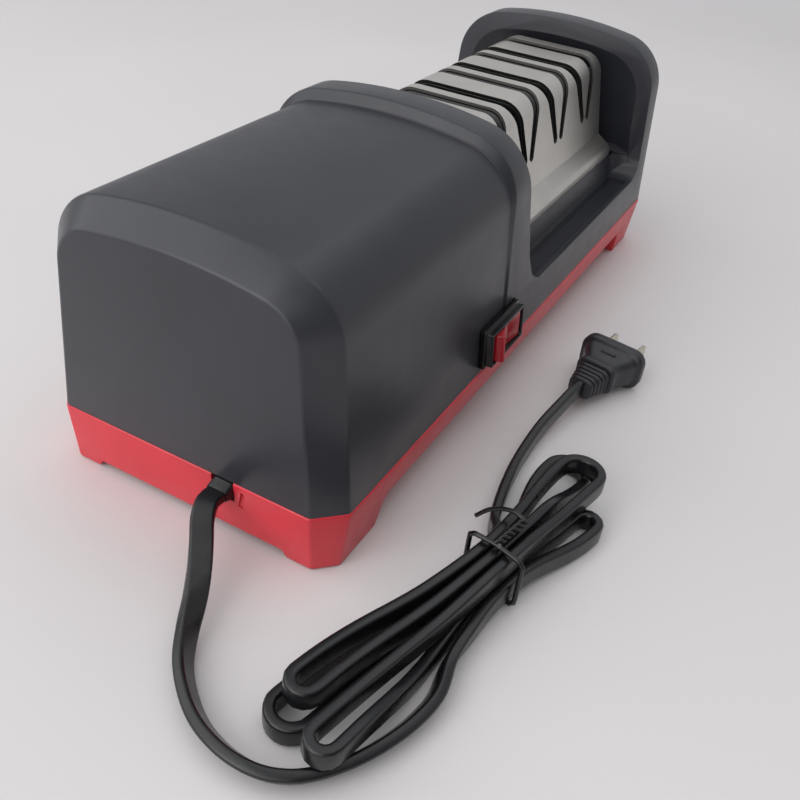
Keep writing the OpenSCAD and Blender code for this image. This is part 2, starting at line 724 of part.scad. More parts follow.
module shaft_coupling() {
    x1 = coupling_x0 + coupling_l;
    middle = coupling_x0 + coupling_l / 2;
    color("#33353a") place() difference() {
        along_x(coupling_x0, x1, coupling_d);
        along_x(coupling_x0 - through, middle, motor_shaft_d + 0.1);
        along_x(middle - sliver, x1 + through, disc_shaft_d + 0.1);
        for (x = [middle - 4, middle + 2.8]) difference() {
            along_x(x, x + 1.2, coupling_d + 2);
            along_x(x - through, x + 2.2, coupling_d - 3);
        }
    }
}

// ---- disc shaft ----
module disc_shaft() {
    color("#c9cbce") place() along_x(disc_shaft_x0, disc_shaft_x1, disc_shaft_d);
}
module bearing_block(x) {
    difference() {
        union() {
            translate([x, -block_half, floor_top]) cube([block_t, 2 * block_half, deck_z - 6 - floor_top]);
            hull() {
                along_x(x, x + block_t, block_bush_d + 9);
                translate([x, -block_half, deck_z - 8]) cube([block_t, 2 * block_half, 2]);
            }
        }
        along_x(x - through, x + block_t + through, block_bush_d + 0.2);
        at_block_feet() translate([0, 0, floor_top - through]) cylinder(d = screw_hole_d, h = 14);
    }
}
module at_block_feet() {
    for (x = [block_near_x, block_far_x], s = [-1, 1])
        translate([x + block_t / 2, s * (block_half - 5), 0]) children();
}
module bearing_block_near() { color("#3a3c40") place() bearing_block(block_near_x); }
module bearing_block_far() { color("#3a3c40") place() bearing_block(block_far_x); }
module shaft_bush_near() {
    color("#a8803c") place() bush(block_near_x, block_t, block_bush_d, disc_shaft_d);
}
module shaft_bush_far() {
    color("#a8803c") place() bush(block_far_x, block_t, block_bush_d, disc_shaft_d);
}
module disc_hub(i) {
    x = stage_at(i);
    rim = disc_gap * 2 - 0.1;
    color("#d8d4ca") place() difference() {
        union() {
            along_x(x - hub_half, x + hub_half, hub_d);
            along_x(x - rim / 2, x + rim / 2, disc_d - 12);
        }
        along_x(x - hub_half - through, x + hub_half + through, disc_shaft_d + 0.1);
    }
}
module disc_hub_1() { disc_hub(1); }
module disc_hub_2() { disc_hub(2); }
module disc_hub_3() { disc_hub(3); }
module disc_hub_4() { disc_hub(4); }
// An abrasive disc: a steel blank with a coated band on the face that meets the knife
module abrasive_disc(i, side, shade) {
    x = stage_at(i) + side * (disc_gap + disc_t / 2);
    color(shade) place() difference() {
        along_x(x - disc_t / 2, x + disc_t / 2, disc_d);
        along_x(x - disc_t / 2 - through, x + disc_t / 2 + through, hub_d + 0.2);
        // the coated band stands a little proud of the middle
        along_x(x + side * disc_t / 2 - 0.4, x + side * disc_t / 2 + 0.4, disc_d - 16);
    }
}
coarse = "#6e6a66";
fine = "#8f8a84";
polish = "#b9b2a6";
module disc_1_left() { abrasive_disc(1, -1, coarse); }
module disc_1_right() { abrasive_disc(1, 1, coarse); }
module disc_2_left() { abrasive_disc(2, -1, coarse); }
module disc_2_right() { abrasive_disc(2, 1, coarse); }
module disc_3_left() { abrasive_disc(3, -1, fine); }
module disc_3_right() { abrasive_disc(3, 1, fine); }
module disc_4_left() { abrasive_disc(4, -1, polish); }
module disc_4_right() { abrasive_disc(4, 1, polish); }
module shaft_clips() {
    clip_t = 0.8;
    color("#6b6d72") place()
        for (i = [1:stage_count], s = [-1, 1])
            translate([stage_at(i) + s * (hub_half + seat_gap + clip_t / 2) - clip_t / 2, 0, 0])
                difference() {
                    along_x(0, clip_t, disc_shaft_d + 5);
                    along_x(-through, clip_t + through, disc_shaft_d + 0.1);
                }
}

// ---- switch ----
// Its own axes: X along the body, Z up the leaning side, and -Y out of the side
module at_switch() {
    translate([switch_x, -side_y(switch_z), switch_z]) rotate([-lean_angle, 0, 0]) children();
}
module switch_body() {
    color("#161719") place() at_switch() difference() {
        union() {
            translate([-bezel_l / 2, -bezel_t, -bezel_h / 2]) cube([bezel_l, bezel_t, bezel_h]);
            translate([-collar_l / 2, -bezel_t - collar_t, -collar_h / 2])
                cube([collar_l, collar_t + sliver, collar_h]);
            translate([-barrel_l / 2, -sliver, -barrel_h / 2])
                cube([barrel_l, barrel_depth, barrel_h]);
        }
        // room for the rocker
        translate([-key_room_l / 2, -bezel_t - collar_t - through, -key_room_h / 2])
            cube([key_room_l, bezel_t + collar_t + through + 8, key_room_h]);
        // bearing of the rocker's pin
        translate([0, key_pivot, -barrel_h / 2 + 0.2])
            cylinder(d = key_pin_d + 2 * run_gap, h = barrel_h - 0.4);
        // room for the terminals
        for (k = [-1:1]) translate([k * 8 - 2.5, barrel_depth - 6, -0.6])
            cube([5, 7, 1.2]);
    }
}
rocker_half = [[4, 3.4], [key_half, -1], [key_half, 0.8 - key_front], [key_half - 0.8, -key_front],
    [2, -key_dip - 0.2], [0, -key_dip]];
rocker_side = concat(rocker_half, mirrored([for (i = [0:len(rocker_half) - 2]) rocker_half[i]]));
module switch_rocker() {
    color("#c33a45") place() at_switch() translate([0, key_pivot, 0]) rotate([0, 0, rocker_tilt]) {
        translate([0, 0, -key_h / 2]) linear_extrude(key_h) polygon(rocker_side);
        translate([0, 0, -barrel_h / 2 + 0.4]) cylinder(d = key_pin_d, h = barrel_h - 0.8);
    }
}
module switch_terminals() {
    color("#c2a25a") place() at_switch()
        for (k = [-1:1]) translate([k * 8 - 2.4, barrel_depth - 5.8, -0.4])
            cube([4.8, term_end + 5.8 - barrel_depth, 0.8]);
}
function on_switch(x, y, z) = [switch_x + x,
    y * cos(lean_angle) + z * sin(lean_angle) - side_y(switch_z),
    switch_z - y * sin(lean_angle) + z * cos(lean_angle)];

// ---- cord entry ----
module strain_relief() {
    color("#1b1c1e") place() translate([0, notch_y, base_h - notch_h / 2 - 0.2]) {
        // the part in the notch, with a lip on each side of the wall
        translate([-relief_out, -notch_w / 2 + 0.2, -notch_h / 2 + 0.3])
            cube([relief_out + wall + 2, notch_w - 0.4, notch_h - 0.4]);
        translate([wall + 0.9, -notch_w / 2 - 1.2, -notch_h / 2 + 0.1])
            cube([2, notch_w + 2.4, notch_h + 1]);
        // tapered tail inside the base
        hull() {
            translate([wall + 2.8, -notch_w / 2 + 0.2, -notch_h / 2 + 0.3])
                cube([sliver, notch_w - 0.4, notch_h - 0.4]);
            translate([relief_in, -cord_w / 2, -cord_t / 2 - 0.6]) cube([sliver, cord_w, cord_t + 1.2]);
        }
        // inner end of the cord, moulded in one with the relief
        translate([relief_in, -cord_w / 2, -cord_t / 2])
            cube([cord_in - relief_in, cord_w, cord_t]);
    }
}
module cord_clamp() {
    color("#d9d5c8") place() difference() {
        translate([clamp_x, notch_y - 11.5, clamp_low]) cube([7, 23, clamp_t]);
        at_clamp_screws() translate([0, 0, clamp_z]) cylinder(d = screw_hole_d, h = 9);
    }
}
module at_clamp_screws() {
    for (s = [-1, 1]) translate([clamp_x + 3.5, notch_y + s * 7.8, 0]) children();
}

// ---- wires and cord ----
// A tube swept along points: n sides, half sizes a across and b along the direction up.
// The first and last points that are left out only give the tube's ends their direction.
function unit(v) = v / norm(v);
function tangent(p, i) = unit(p[min(i + 1, len(p) - 1)] - p[max(i - 1, 0)]);
function ring(p, i, a, b, n, up) =
    let (t = tangent(p, i), s = unit(cross(t, up)), u = cross(s, t))
    [for (k = [0:n - 1]) let (w = 360 * (k + 0.5) / n) p[i] + a * cos(w) * s + b * sin(w) * u];
module swept(p, a, b, n, up = [0, 0, 1], first = 0, last = 0) {
    rings = len(p) - first - last;
    pts = [for (i = [first:len(p) - 1 - last]) each
        ring(p, i, a / cos(180 / n), b / cos(180 / n), n, up)];
    sides = [for (i = [0:rings - 2], k = [0:n - 1]) each
        [[i * n + k, i * n + (k + 1) % n, (i + 1) * n + (k + 1) % n],
         [i * n + k, (i + 1) * n + (k + 1) % n, (i + 1) * n + k]]];
    ends = [for (k = [1:n - 2]) each
        [[0, k + 1, k], [(rings - 1) * n, (rings - 1) * n + k, (rings - 1) * n + k + 1]]];
    polyhedron(points = pts, faces = concat(sides, ends));
}
wire_r = 1;
live_y = notch_y - 2;
neutral_y = notch_y + 2;
coil_half = stack_w / 2 - limb - 3;
wire_live_route = [[cord_in + 0.2, live_y, clamp_z], [36, live_y, clamp_z], [40, -18.5, 19],
    [43, -24, 20], [47, -31, 22], [54, -34, 23], [90, -34, 24], [95, -31.5, 24], [99, -25, 24],
    [102, -20, 26], [switch_x - 8, -19, 29], on_switch(-8, term_end + 4, 0),
    on_switch(-8, term_end + 0.2, 0)];
wire_switched_route = [on_switch(0, term_end + 0.2, 0), on_switch(0, term_end + 4, 0),
    [switch_x - 1, -20, 31], [switch_x - 5, -19, 34], [100, -25, 36], [94, -31, 40],
    [86, -34, 48], [80, -32, 56], [77.5, -26, 59],
    [stack_x1 + coil_side / 2, 3 - coil_half, coil_low - 5],
    [stack_x1 + coil_side / 2, 4.5 - coil_half, coil_low - 0.5]];
wire_neutral_route = [[cord_in + 0.2, neutral_y, clamp_z], [37, neutral_y, clamp_z],
    [41, -9, 19], [44, 0, 19.5], [46, 16, 20], [46, 28, 22], [45, 34, 28], [43, 36, 44],
    [42.5, 34, 54], [42.8, 27, 59],
    [stack_x0 - coil_side / 2, coil_half - 3, coil_low - 5],
    [stack_x0 - coil_side / 2, coil_half - 4.5, coil_low - 0.5]];
// This wire stands upright on its way, so its rings are set from a level direction
neutral_up = [1, 0, 0.35];
module wire_live() { color("#3d3f45") place() swept(wire_live_route, wire_r, wire_r, 8); }
module wire_switched() { color("#8a2f2c") place() swept(wire_switched_route, wire_r, wire_r, 8); }
module wire_neutral() {
    color("#d8d6d0") place() swept(wire_neutral_route, wire_r, wire_r, 8, neutral_up);
}

// ---- the flat cord, standing on its edge, from the base to the hank ----
cord_low = cord_w / 2 + 0.1;
cord_high = cord_low + cord_w + 0.9;
tie_lift = 2.2;
exit_z = base_h - notch_h / 2 - 0.2;
hank_at = [25, -95];
hank_turn = -12;
function ease(t) = (1 - cos(180 * t)) / 2;
function late(t, a, b) = ease(min(max((t - a) / (b - a), 0), 1));
// A point u along the hank and v across it. The runs rise over the tie's band.
function beside_hank(u, v, z) = [
    hank_at[0] + u * cos(hank_turn) - v * sin(hank_turn),
    hank_at[1] + u * sin(hank_turn) + v * cos(hank_turn), z];
function on_hank(u, v, z) = beside_hank(u, v, z + tie_lift * (1 - late(abs(u), 5, 34)));
lead_route = [[-relief_out, notch_y, exit_z], [-7, notch_y, exit_z], [-12, -17.5, 17],
    [-17, -21, 13.5], [-23, -25, 10], [-30, -29, 7], [-38, -33, 5], [-46, -38, 3.8],
    [-52, -44, cord_low], [-57, -51, cord_low], [-60, -58, cord_low], [-61.5, -66, cord_low],
    [-61, -74, cord_low], [-58, -81, cord_low], [-53, -86.5, cord_low], [-46, -91.5, cord_low],
    [-38, -95.5, cord_low], [-29, -98.5, cord_low], [-20, -100, cord_low],
    [-10, -100.5, cord_low]];

// The hank: seven runs joined by three folds at each end, drawn in at the tie.
// Each run: where it crosses the tie, and its heights at the low end, the tie and the high end
lay = cord_t + 0.7;
run_tie = [-1.5 * lay, -0.5 * lay, -lay, lay, 0, 0.5 * lay, 1.5 * lay];
run_low_z = [cord_low, cord_high, cord_high, cord_high, cord_high, cord_low, cord_low];
run_tie_z = [cord_low, cord_low, cord_high, cord_high, cord_high, cord_low, cord_low];
run_high_z = [cord_low, cord_low, cord_high, cord_high, cord_low, cord_low, cord_low];
// Each fold: its middle across the hank, its radius, and how far it reaches
high_fold = [[-8, 4, 46], [3, 7, 60], [10, 7, 66]];
low_fold = [[-6, 4, 80], [9, 4, 72], [9, 6, 78]];
run_steps = 8;
fold_steps = 7;
// Half a run, from the tie (t = 0) to the start of a fold (t = 1)
function half_run(k, end, fold, side, t) =
    let (
        reach = fold[2] - fold[1],
        v0 = run_tie[k],
        v1 = fold[0] + side * fold[1],
        z0 = run_tie_z[k],
        z1 = end > 0 ? run_high_z[k] : run_low_z[k]
    )
    on_hank(end * reach * t, v0 + (v1 - v0) * ease(t), z0 + (z1 - z0) * late(t, 0.45, 0.95));
function fold_arc(end, fold, side, z, t) =
    let (a = 180 * t - 90)
    on_hank(end * (fold[2] - fold[1] + fold[1] * cos(a)), fold[0] - side * fold[1] * sin(a), z);
// Side of the fold that each run is on: -1 is the switch's far side
high_side = [-1, 1, -1, 1, -1, 1];
low_side = [0, -1, 1, 1, -1, -1, 1];
function run_out(k, end) = let (fold = end > 0 ? high_fold[floor(k / 2)] : low_fold[floor((k - 1) / 2)])
    [for (i = [0:run_steps - 1])
        half_run(k, end, fold, end > 0 ? high_side[k] : low_side[k], i / run_steps)];
function run_back(k, end) = let (r = run_out(k, end)) [for (i = [len(r) - 1:-1:1]) r[i]];
function fold_pts(k, end) =
    let (fold = end > 0 ? high_fold[floor(k / 2)] : low_fold[floor((k - 1) / 2)],
        side = end > 0 ? high_side[k] : low_side[k],
        z = end > 0 ? run_high_z[k] : run_low_z[k])
    [for (i = [0:fold_steps]) fold_arc(end, fold, side, z, i / fold_steps)];
hank_start = on_hank(-31, -9.6, cord_low);
hank_route = concat(
    [lead_route[len(lead_route) - 1], hank_start, on_hank(-20, -7.9, cord_low),
     on_hank(-9, -6.6, cord_low)],
    run_out(0, 1), fold_pts(0, 1), run_back(1, 1),
    run_out(1, -1), fold_pts(1, -1), run_back(2, -1),
    run_out(2, 1), fold_pts(2, 1), run_back(3, 1),
    run_out(3, -1), fold_pts(3, -1), run_back(4, -1),
    run_out(4, 1), fold_pts(4, 1), run_back(5, 1),
    run_out(5, -1), fold_pts(5, -1), run_back(6, -1),
    [on_hank(0, run_tie[6], cord_low), on_hank(10, 7.4, cord_low)]);
plug_turn = -9;
plug_at = [132, -84.4];
plug_z = plug_h / 2 + 0.2;
tail_route = [on_hank(10, 7.4, cord_low), on_hank(17, 10, cord_low), [50, -85.5, cord_low],
    [63, -82.5, cord_low], [77, -80.5, cord_low], [91, -79.8, cord_low + 0.6], [104, -80.2, 5.5],
    [117, -82, 7.4], [125.1, -83.3, plug_z], [plug_at[0], plug_at[1], plug_z]];
module cord_lead() {
    color("#1c1d20") place()
        swept(concat(lead_route, [hank_route[1]]), cord_t / 2, cord_w / 2, 8, last = 1);
}
module cord_hank() {
    color("#1c1d20") place()
        swept(concat([lead_route[len(lead_route) - 2]], hank_route, [tail_route[1]]),
            cord_t / 2, cord_w / 2, 6, first = 1, last = 1);
}
module cord_tail() {
    color("#1c1d20") place()
        swept(concat([hank_route[len(hank_route) - 2]], tail_route),
            cord_t / 2, cord_w / 2, 8, first = 1);
}
// Least gap between runs of the hank that aren't neighbours along the cord
near_along = 9;
hank_gap = min([for (i = [0:len(hank_route) - 1], j = [i + near_along:1:len(hank_route) - 1])
    let (d = hank_route[i] - hank_route[j])
    max(norm([d[0], d[1]]) - cord_t, abs(d[2]) - cord_w)]);
echo(hank_gap = hank_gap);
function run_length(p, i = 1) = i < len(p) ? norm(p[i] - p[i - 1]) + run_length(p, i + 1) : 0;
echo(cord_length = run_length(lead_route) + run_length(hank_route) + run_length(tail_route));

// ---- plug ----
module at_plug() {
    translate([plug_at[0], plug_at[1], plug_z]) rotate([0, 0, plug_turn]) children();
}
flange_x = 25;
flange_t = 4.5;
function round_rect(w, h, r) = let (y = w / 2 - r, z = h / 2 - r)
    concat(arc(y, z, r, 0, 90, 4), arc(-y, z, r, 90, 180, 4),
        arc(-y, -z, r, 180, 270, 4), arc(y, -z, r, 270, 360, 4));
module rounded_plate(x, t, w, h, r) {
    slab(x, x + t, round_rect(w, h, r));
}
module plug_body() {
    color("#1c1d20") place() at_plug() difference() {
        union() {
            for (i = [0:4]) rounded_plate(i * 2.3, 1.5, 10 + i * 0.9, 8.4 + i * 0.5, 2.5);
            rounded_plate(sliver, 12, 8.6, 7, 2);
            rounded_plate(11.5, 3, 16.5, 12.5, 3);
            hull() {
                rounded_plate(14, 1, 15, 11.5, 3);
                rounded_plate(flange_x - 1, 1, plug_w - 4, plug_h - 3.4, 3);
            }
            rounded_plate(flange_x - sliver, flange_t, plug_w, plug_h, 4);
        }
        for (s = [-1, 1]) translate([flange_x, s * blade_gap / 2 - 0.9, -3.3])
            cube([flange_t + through, 1.8, 6.6]);
    }
}
module plug_blades() {
    color("#c9c2ae") place() at_plug() for (s = [-1, 1]) {
        translate([flange_x + 0.2, s * blade_gap / 2 - 0.75, -3.15])
            cube([flange_t + 14.5, 1.5, 6.3]);
        translate([flange_x + flange_t + 14.6, s * blade_gap / 2 - 0.75, -2.2])
            cube([1.6, 1.5, 4.4]);
    }
}

// ---- twist tie round the hank ----
tie_r = 0.8;
tie_room = 0.6;
tie_half = 1.5 * lay + cord_t / 2 + tie_room + tie_r;
tie_low = tie_r + 0.02;
tie_high = cord_high + tie_lift + cord_w / 2 + tie_room + tie_r;
tie_bend = 2.5;
tie_knot = 14;
tie_knot_r = 1.6;
knot_z = tie_high + 1;
along_hank = [cos(hank_turn), sin(hank_turn), 0];
function tie_corner(v, z, a) = [for (t = [a:30:a + 90])
    beside_hank(0, v + tie_bend * cos(t), z + tie_bend * sin(t))];
tie_band = concat(
    [beside_hank(0, -1, tie_high)],
    tie_corner(tie_bend - tie_half, tie_high - tie_bend, 90),
    tie_corner(tie_bend - tie_half, tie_low + tie_bend, 180),
    tie_corner(tie_half - tie_bend, tie_low + tie_bend, 270),
    tie_corner(tie_half - tie_bend, tie_high - tie_bend, 0),
    [beside_hank(0, 1, tie_high)]);
tie_end = [beside_hank(tie_knot - 1, 0, knot_z), beside_hank(tie_knot, 4, knot_z + 0.6),
    beside_hank(tie_knot, 9, knot_z - 1), beside_hank(tie_knot - 1, 13, knot_z - 4),
    beside_hank(tie_knot - 2, 16, knot_z - 8)];
module twist_tie() {
    color("#202124") place() {
        swept(tie_band, tie_r, tie_r, 6, along_hank);
        swept(tie_end, tie_r, tie_r, 6, along_hank);
        // the two ends, twisted together
        hull() for (u = [0, tie_knot]) translate(beside_hank(u, 0, knot_z))
            sphere(r = tie_knot_r, $fn = 16);
    }
}

// ---- fasteners ----
module base_screws() {
    color("#8f9196") place() at_base_screws()
        translate([0, 0, floor_z - 1 - screw_head_t]) {
            cylinder(d = screw_head_d, h = screw_head_t);
            cylinder(d = screw_d, h = trough_z - wall - floor_z - 1);
        }
}
module motor_screws() {
    color("#8f9196") place() {
        at_motor_screws() translate([bracket_rear_x - screw_head_t, 0, 0]) rotate([0, 90, 0]) {
            cylinder(d = screw_head_d, h = screw_head_t);
            cylinder(d = screw_d, h = bracket_front_x - bracket_rear_x + motor_screw_end);
        }
        at_motor_feet() screw([0, 0, floor_top + foot_plate_h + bracket_t + screw_head_t],
            motor_foot_screw_l, false);
    }
}
module block_screws() {
    color("#8f9196") place() at_block_feet()
        screw([0, 0, floor_z - screw_head_t], block_screw_l, true);
}
module clamp_screws() {
    color("#8f9196") place() at_clamp_screws()
        screw([0, 0, clamp_low + clamp_t + screw_head_t], clamp_screw_l, false);
}
module guide_screws() {
    color("#8f9196") place() at_guide_screws()
        screw([0, 0, deck_z - wall - screw_head_t], guide_screw_l, true);
}

upper_housing();
base_tray();
rubber_feet();
slotted_cover();
knife_guide_1();
knife_guide_2();
knife_guide_3();
knife_guide_4();
motor_stator();
motor_coil();
motor_rotor();
motor_shaft();
motor_bracket_rear();
motor_bracket_front();
motor_bush_rear();
motor_bush_front();
cooling_fan();
shaft_coupling();
disc_shaft();
bearing_block_near();
bearing_block_far();
shaft_bush_near();
shaft_bush_far();
disc_hub_1();
disc_hub_2();
disc_hub_3();
disc_hub_4();
disc_1_left();
disc_1_right();
disc_2_left();
disc_2_right();
disc_3_left();
disc_3_right();
disc_4_left();
disc_4_right();
shaft_clips();
switch_body();
switch_rocker();
switch_terminals();
strain_relief();
cord_clamp();
wire_live();
wire_switched();
wire_neutral();
base_screws();
motor_screws();
block_screws();
clamp_screws();
guide_screws();
cord_lead();
cord_hank();
cord_tail();
plug_body();
plug_blades();
twist_tie();
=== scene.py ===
# %% [markdown]
# # An electric knife sharpener, dressed for its picture
# The CAD model gives every piece its true size and place, and this lesson gives the
# pieces their looks. It starts by loading the CAD model as a fixed frame. Each node
# comes in with its mesh in place, so anything made here in the same metres fits.

import json
import math
from math import cos, sin, pi, radians

import bpy
from mathutils import Matrix, Vector

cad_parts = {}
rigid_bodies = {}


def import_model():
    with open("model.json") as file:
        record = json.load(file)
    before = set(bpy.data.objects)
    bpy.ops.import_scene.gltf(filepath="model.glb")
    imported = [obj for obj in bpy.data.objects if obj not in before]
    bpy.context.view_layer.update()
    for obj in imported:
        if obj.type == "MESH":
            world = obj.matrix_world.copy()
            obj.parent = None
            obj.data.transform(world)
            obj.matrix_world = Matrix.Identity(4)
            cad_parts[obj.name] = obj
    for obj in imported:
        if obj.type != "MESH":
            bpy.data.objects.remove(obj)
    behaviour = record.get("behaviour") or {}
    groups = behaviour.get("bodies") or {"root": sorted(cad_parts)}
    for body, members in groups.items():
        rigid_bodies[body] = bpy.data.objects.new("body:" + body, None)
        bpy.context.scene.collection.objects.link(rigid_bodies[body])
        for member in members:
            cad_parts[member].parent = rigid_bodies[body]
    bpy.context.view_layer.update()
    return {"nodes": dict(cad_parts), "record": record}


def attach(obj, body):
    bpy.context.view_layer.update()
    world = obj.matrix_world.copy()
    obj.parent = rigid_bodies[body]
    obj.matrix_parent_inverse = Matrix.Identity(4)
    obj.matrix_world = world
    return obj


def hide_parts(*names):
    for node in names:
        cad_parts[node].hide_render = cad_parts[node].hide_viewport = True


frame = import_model()
nodes = frame["nodes"]
MM = 0.001

# %% [markdown]
# ## Where things are
# The part's own drawing counts from the cord end of the body. The frame counts from the
# middle of its footprint. One small function turns the first into the second, so the
# numbers below are the same as in the drawing.

# %% Places
HALF_LENGTH = 152.0
SIDE_SHIFT = 3.42
SCENE = bpy.context.scene


def place(x, y, z):
    """A point of the drawing, in millimetres, as a point of the frame, in metres."""
    return Vector(((x - HALF_LENGTH) * MM, (y + SIDE_SHIFT) * MM, z * MM))


print("cord end of the body:", tuple(round(c, 4) for c in place(0, 0, 0)))

# %% [markdown]
# ## The camera
# The photograph looks down on the cord end from close by, a little rolled. A camera is
# three numbers for its place, a direction, a roll and a lens. They were worked out from
# the body's corners, so the model's edges fall where the photograph has them.

# %% Camera
CAMERA_AT = place(-158.92, -145.41, 204.37)
LOOKS_ALONG = Vector((0.73071, 0.34383, -0.58978))
ROLL = radians(6.531)
LENS_MM = 40.5

camera_data = bpy.data.cameras.new("photo_camera")
camera_data.lens = LENS_MM
camera_data.sensor_width = 36
camera_data.clip_start = 0.01
camera = bpy.data.objects.new("photo_camera", camera_data)
SCENE.collection.objects.link(camera)
turn = LOOKS_ALONG.to_track_quat("-Z", "Y").to_matrix().to_4x4()
camera.matrix_world = Matrix.Translation(CAMERA_AT) @ turn @ Matrix.Rotation(ROLL, 4, "Z")
SCENE.camera = camera
print("camera at", tuple(round(c, 3) for c in CAMERA_AT))

# %% [markdown]
# ## The cord's route
# The flat cord leaves the notch in the base, drops to the table, turns back and goes into
# a hank: seven runs side by side in two layers, joined by round folds and drawn in at the
# tie. A list of points is easy to set against a photograph, and a smooth curve through them
# gives the cord. The hank's points follow the same rule as in the drawing.

# %% Route points
CORD_W, CORD_T = 7.0, 3.5
CORD_LOW = CORD_W / 2 + 0.1
CORD_HIGH = CORD_LOW + CORD_W + 0.9
EXIT_Z, NOTCH_Y, RELIEF_OUT = 18.8, -15.5, 3.0
HANK_AT, HANK_TURN = (25.0, -95.0), radians(-12)
TIE_LIFT = 2.2


def ease(t):
    return (1 - cos(pi * min(max(t, 0), 1))) / 2


def late(t, a, b):
    return ease((t - a) / (b - a))


def beside_hank(u, v, z):
    return (
        HANK_AT[0] + u * cos(HANK_TURN) - v * sin(HANK_TURN),
        HANK_AT[1] + u * sin(HANK_TURN) + v * cos(HANK_TURN),
        z,
    )


def on_hank(u, v, z):
    """The runs rise over the band of the tie, which passes under them."""
    return beside_hank(u, v, z + TIE_LIFT * (1 - late(abs(u), 5, 34)))


LAY = CORD_T + 0.7
RUN_TIE = [k * LAY for k in (-1.5, -0.5, -1, 1, 0, 0.5, 1.5)]
LOW, HIGH = CORD_LOW, CORD_HIGH
RUN_LOW_Z = [LOW, HIGH, HIGH, HIGH, HIGH, LOW, LOW]
RUN_TIE_Z = [LOW, LOW, HIGH, HIGH, HIGH, LOW, LOW]
RUN_HIGH_Z = [LOW, LOW, HIGH, HIGH, LOW, LOW, LOW]
HIGH_FOLD = [(-8, 4, 46), (3, 7, 60), (10, 7, 66)]
LOW_FOLD = [(-6, 4, 80), (9, 4, 72), (9, 6, 78)]
HIGH_SIDE = [-1, 1, -1, 1, -1, 1]
LOW_SIDE = [0, -1, 1, 1, -1, -1, 1]
RUN_STEPS, FOLD_STEPS = 8, 7


def fold_of(k, end):
    fold = HIGH_FOLD[k // 2] if end > 0 else LOW_FOLD[(k - 1) // 2]
    side = (HIGH_SIDE if end > 0 else LOW_SIDE)[k]
    z = (RUN_HIGH_Z if end > 0 else RUN_LOW_Z)[k]
    return fold, side, z


def run_out(k, end):
    """Run k from the tie to the start of its fold."""
    (mid, radius, reach), side, z1 = fold_of(k, end)
    points = []
    for i in range(RUN_STEPS):
        t = i / RUN_STEPS
        v = RUN_TIE[k] + (mid + side * radius - RUN_TIE[k]) * ease(t)
        z = RUN_TIE_Z[k] + (z1 - RUN_TIE_Z[k]) * late(t, 0.45, 0.95)
        points.append(on_hank(end * (reach - radius) * t, v, z))
    return points


def fold_points(k, end):
    (mid, radius, reach), side, z = fold_of(k, end)
    points = []
    for i in range(FOLD_STEPS + 1):
        a = pi * i / FOLD_STEPS - pi / 2
        u = end * (reach - radius + radius * cos(a))
        points.append(on_hank(u, mid - side * radius * sin(a), z))
    return points


lead_points = [
    (-RELIEF_OUT, NOTCH_Y, EXIT_Z), (-7, NOTCH_Y, EXIT_Z), (-12, -17.5, 17), (-17, -21, 13.5),
    (-23, -25, 10), (-30, -29, 7), (-38, -33, 5), (-46, -38, 3.8), (-52, -44, LOW),
    (-57, -51, LOW), (-60, -58, LOW), (-61.5, -66, LOW), (-61, -74, LOW), (-58, -81, LOW),
    (-53, -86.5, LOW), (-46, -91.5, LOW), (-38, -95.5, LOW), (-29, -98.5, LOW),
    (-19, -99.8, LOW),
]
hank_points = [on_hank(-31, -9.6, LOW), on_hank(-20, -7.9, LOW), on_hank(-9, -6.6, LOW)]
for k in range(6):
    end = 1 if k % 2 == 0 else -1
    hank_points += run_out(k, end) + fold_points(k, end) + run_out(k + 1, end)[:0:-1]
hank_points += [on_hank(0, RUN_TIE[6], LOW)]
PLUG_AT, PLUG_Z, PLUG_TURN = (132.0, -84.4), 8.7, radians(-9)
tail_points = [
    on_hank(10, 7.4, LOW), on_hank(17, 10, LOW), (50, -85.5, LOW), (63, -82.5, LOW),
    (77, -80.5, LOW), (91, -79.8, LOW + 0.6), (104, -80.2, 5.5), (117, -82, 7.4),
    (125.1, -83.3, PLUG_Z), (PLUG_AT[0], PLUG_AT[1], PLUG_Z),
]
route = [place(*p) for p in lead_points + hank_points + tail_points]
print("route points:", len(route))

# %% [markdown]
# ## The flat cord
# A round cord could be a curve with a bevel. This one is flat, 7 by 3.5 mm, with rounded
# edges. It leaves the notch flat, leans outwards on the table and stands on its edge in the
# hank, so its section has to turn by a known amount along the route. So its rings are set
# along a smooth line in code, each with the flat section at its own turn.


# %% Sweep helpers
def smooth_line(points, step):
    """A Catmull-Rom curve through the points, with a point about every step."""
    line = []
    padded = [points[0] * 2 - points[1]] + list(points) + [points[-1] * 2 - points[-2]]
    for a, b, c, d in zip(padded, padded[1:], padded[2:], padded[3:]):
        count = max(1, round((c - b).length / step))
        for i in range(count):
            t = i / count
            line.append(
                0.5 * ((2 * b) + (c - a) * t + (2 * a - 5 * b + 4 * c - d) * t * t
                       + (3 * b - a - 3 * c + d) * t * t * t))
    return line + [points[-1].copy()]


def round_section(width, height, radius, steps):
    """A rectangle with round corners, as (across, up) pairs."""
    points = []
    for corner in range(4):
        cy = (width / 2 - radius) * (1, -1, -1, 1)[corner]
        cz = (height / 2 - radius) * (1, 1, -1, -1)[corner]
        for i in range(steps + 1):
            a = pi / 2 * (corner + i / steps)
            points.append((cy + radius * cos(a), cz + radius * sin(a)))
    return points


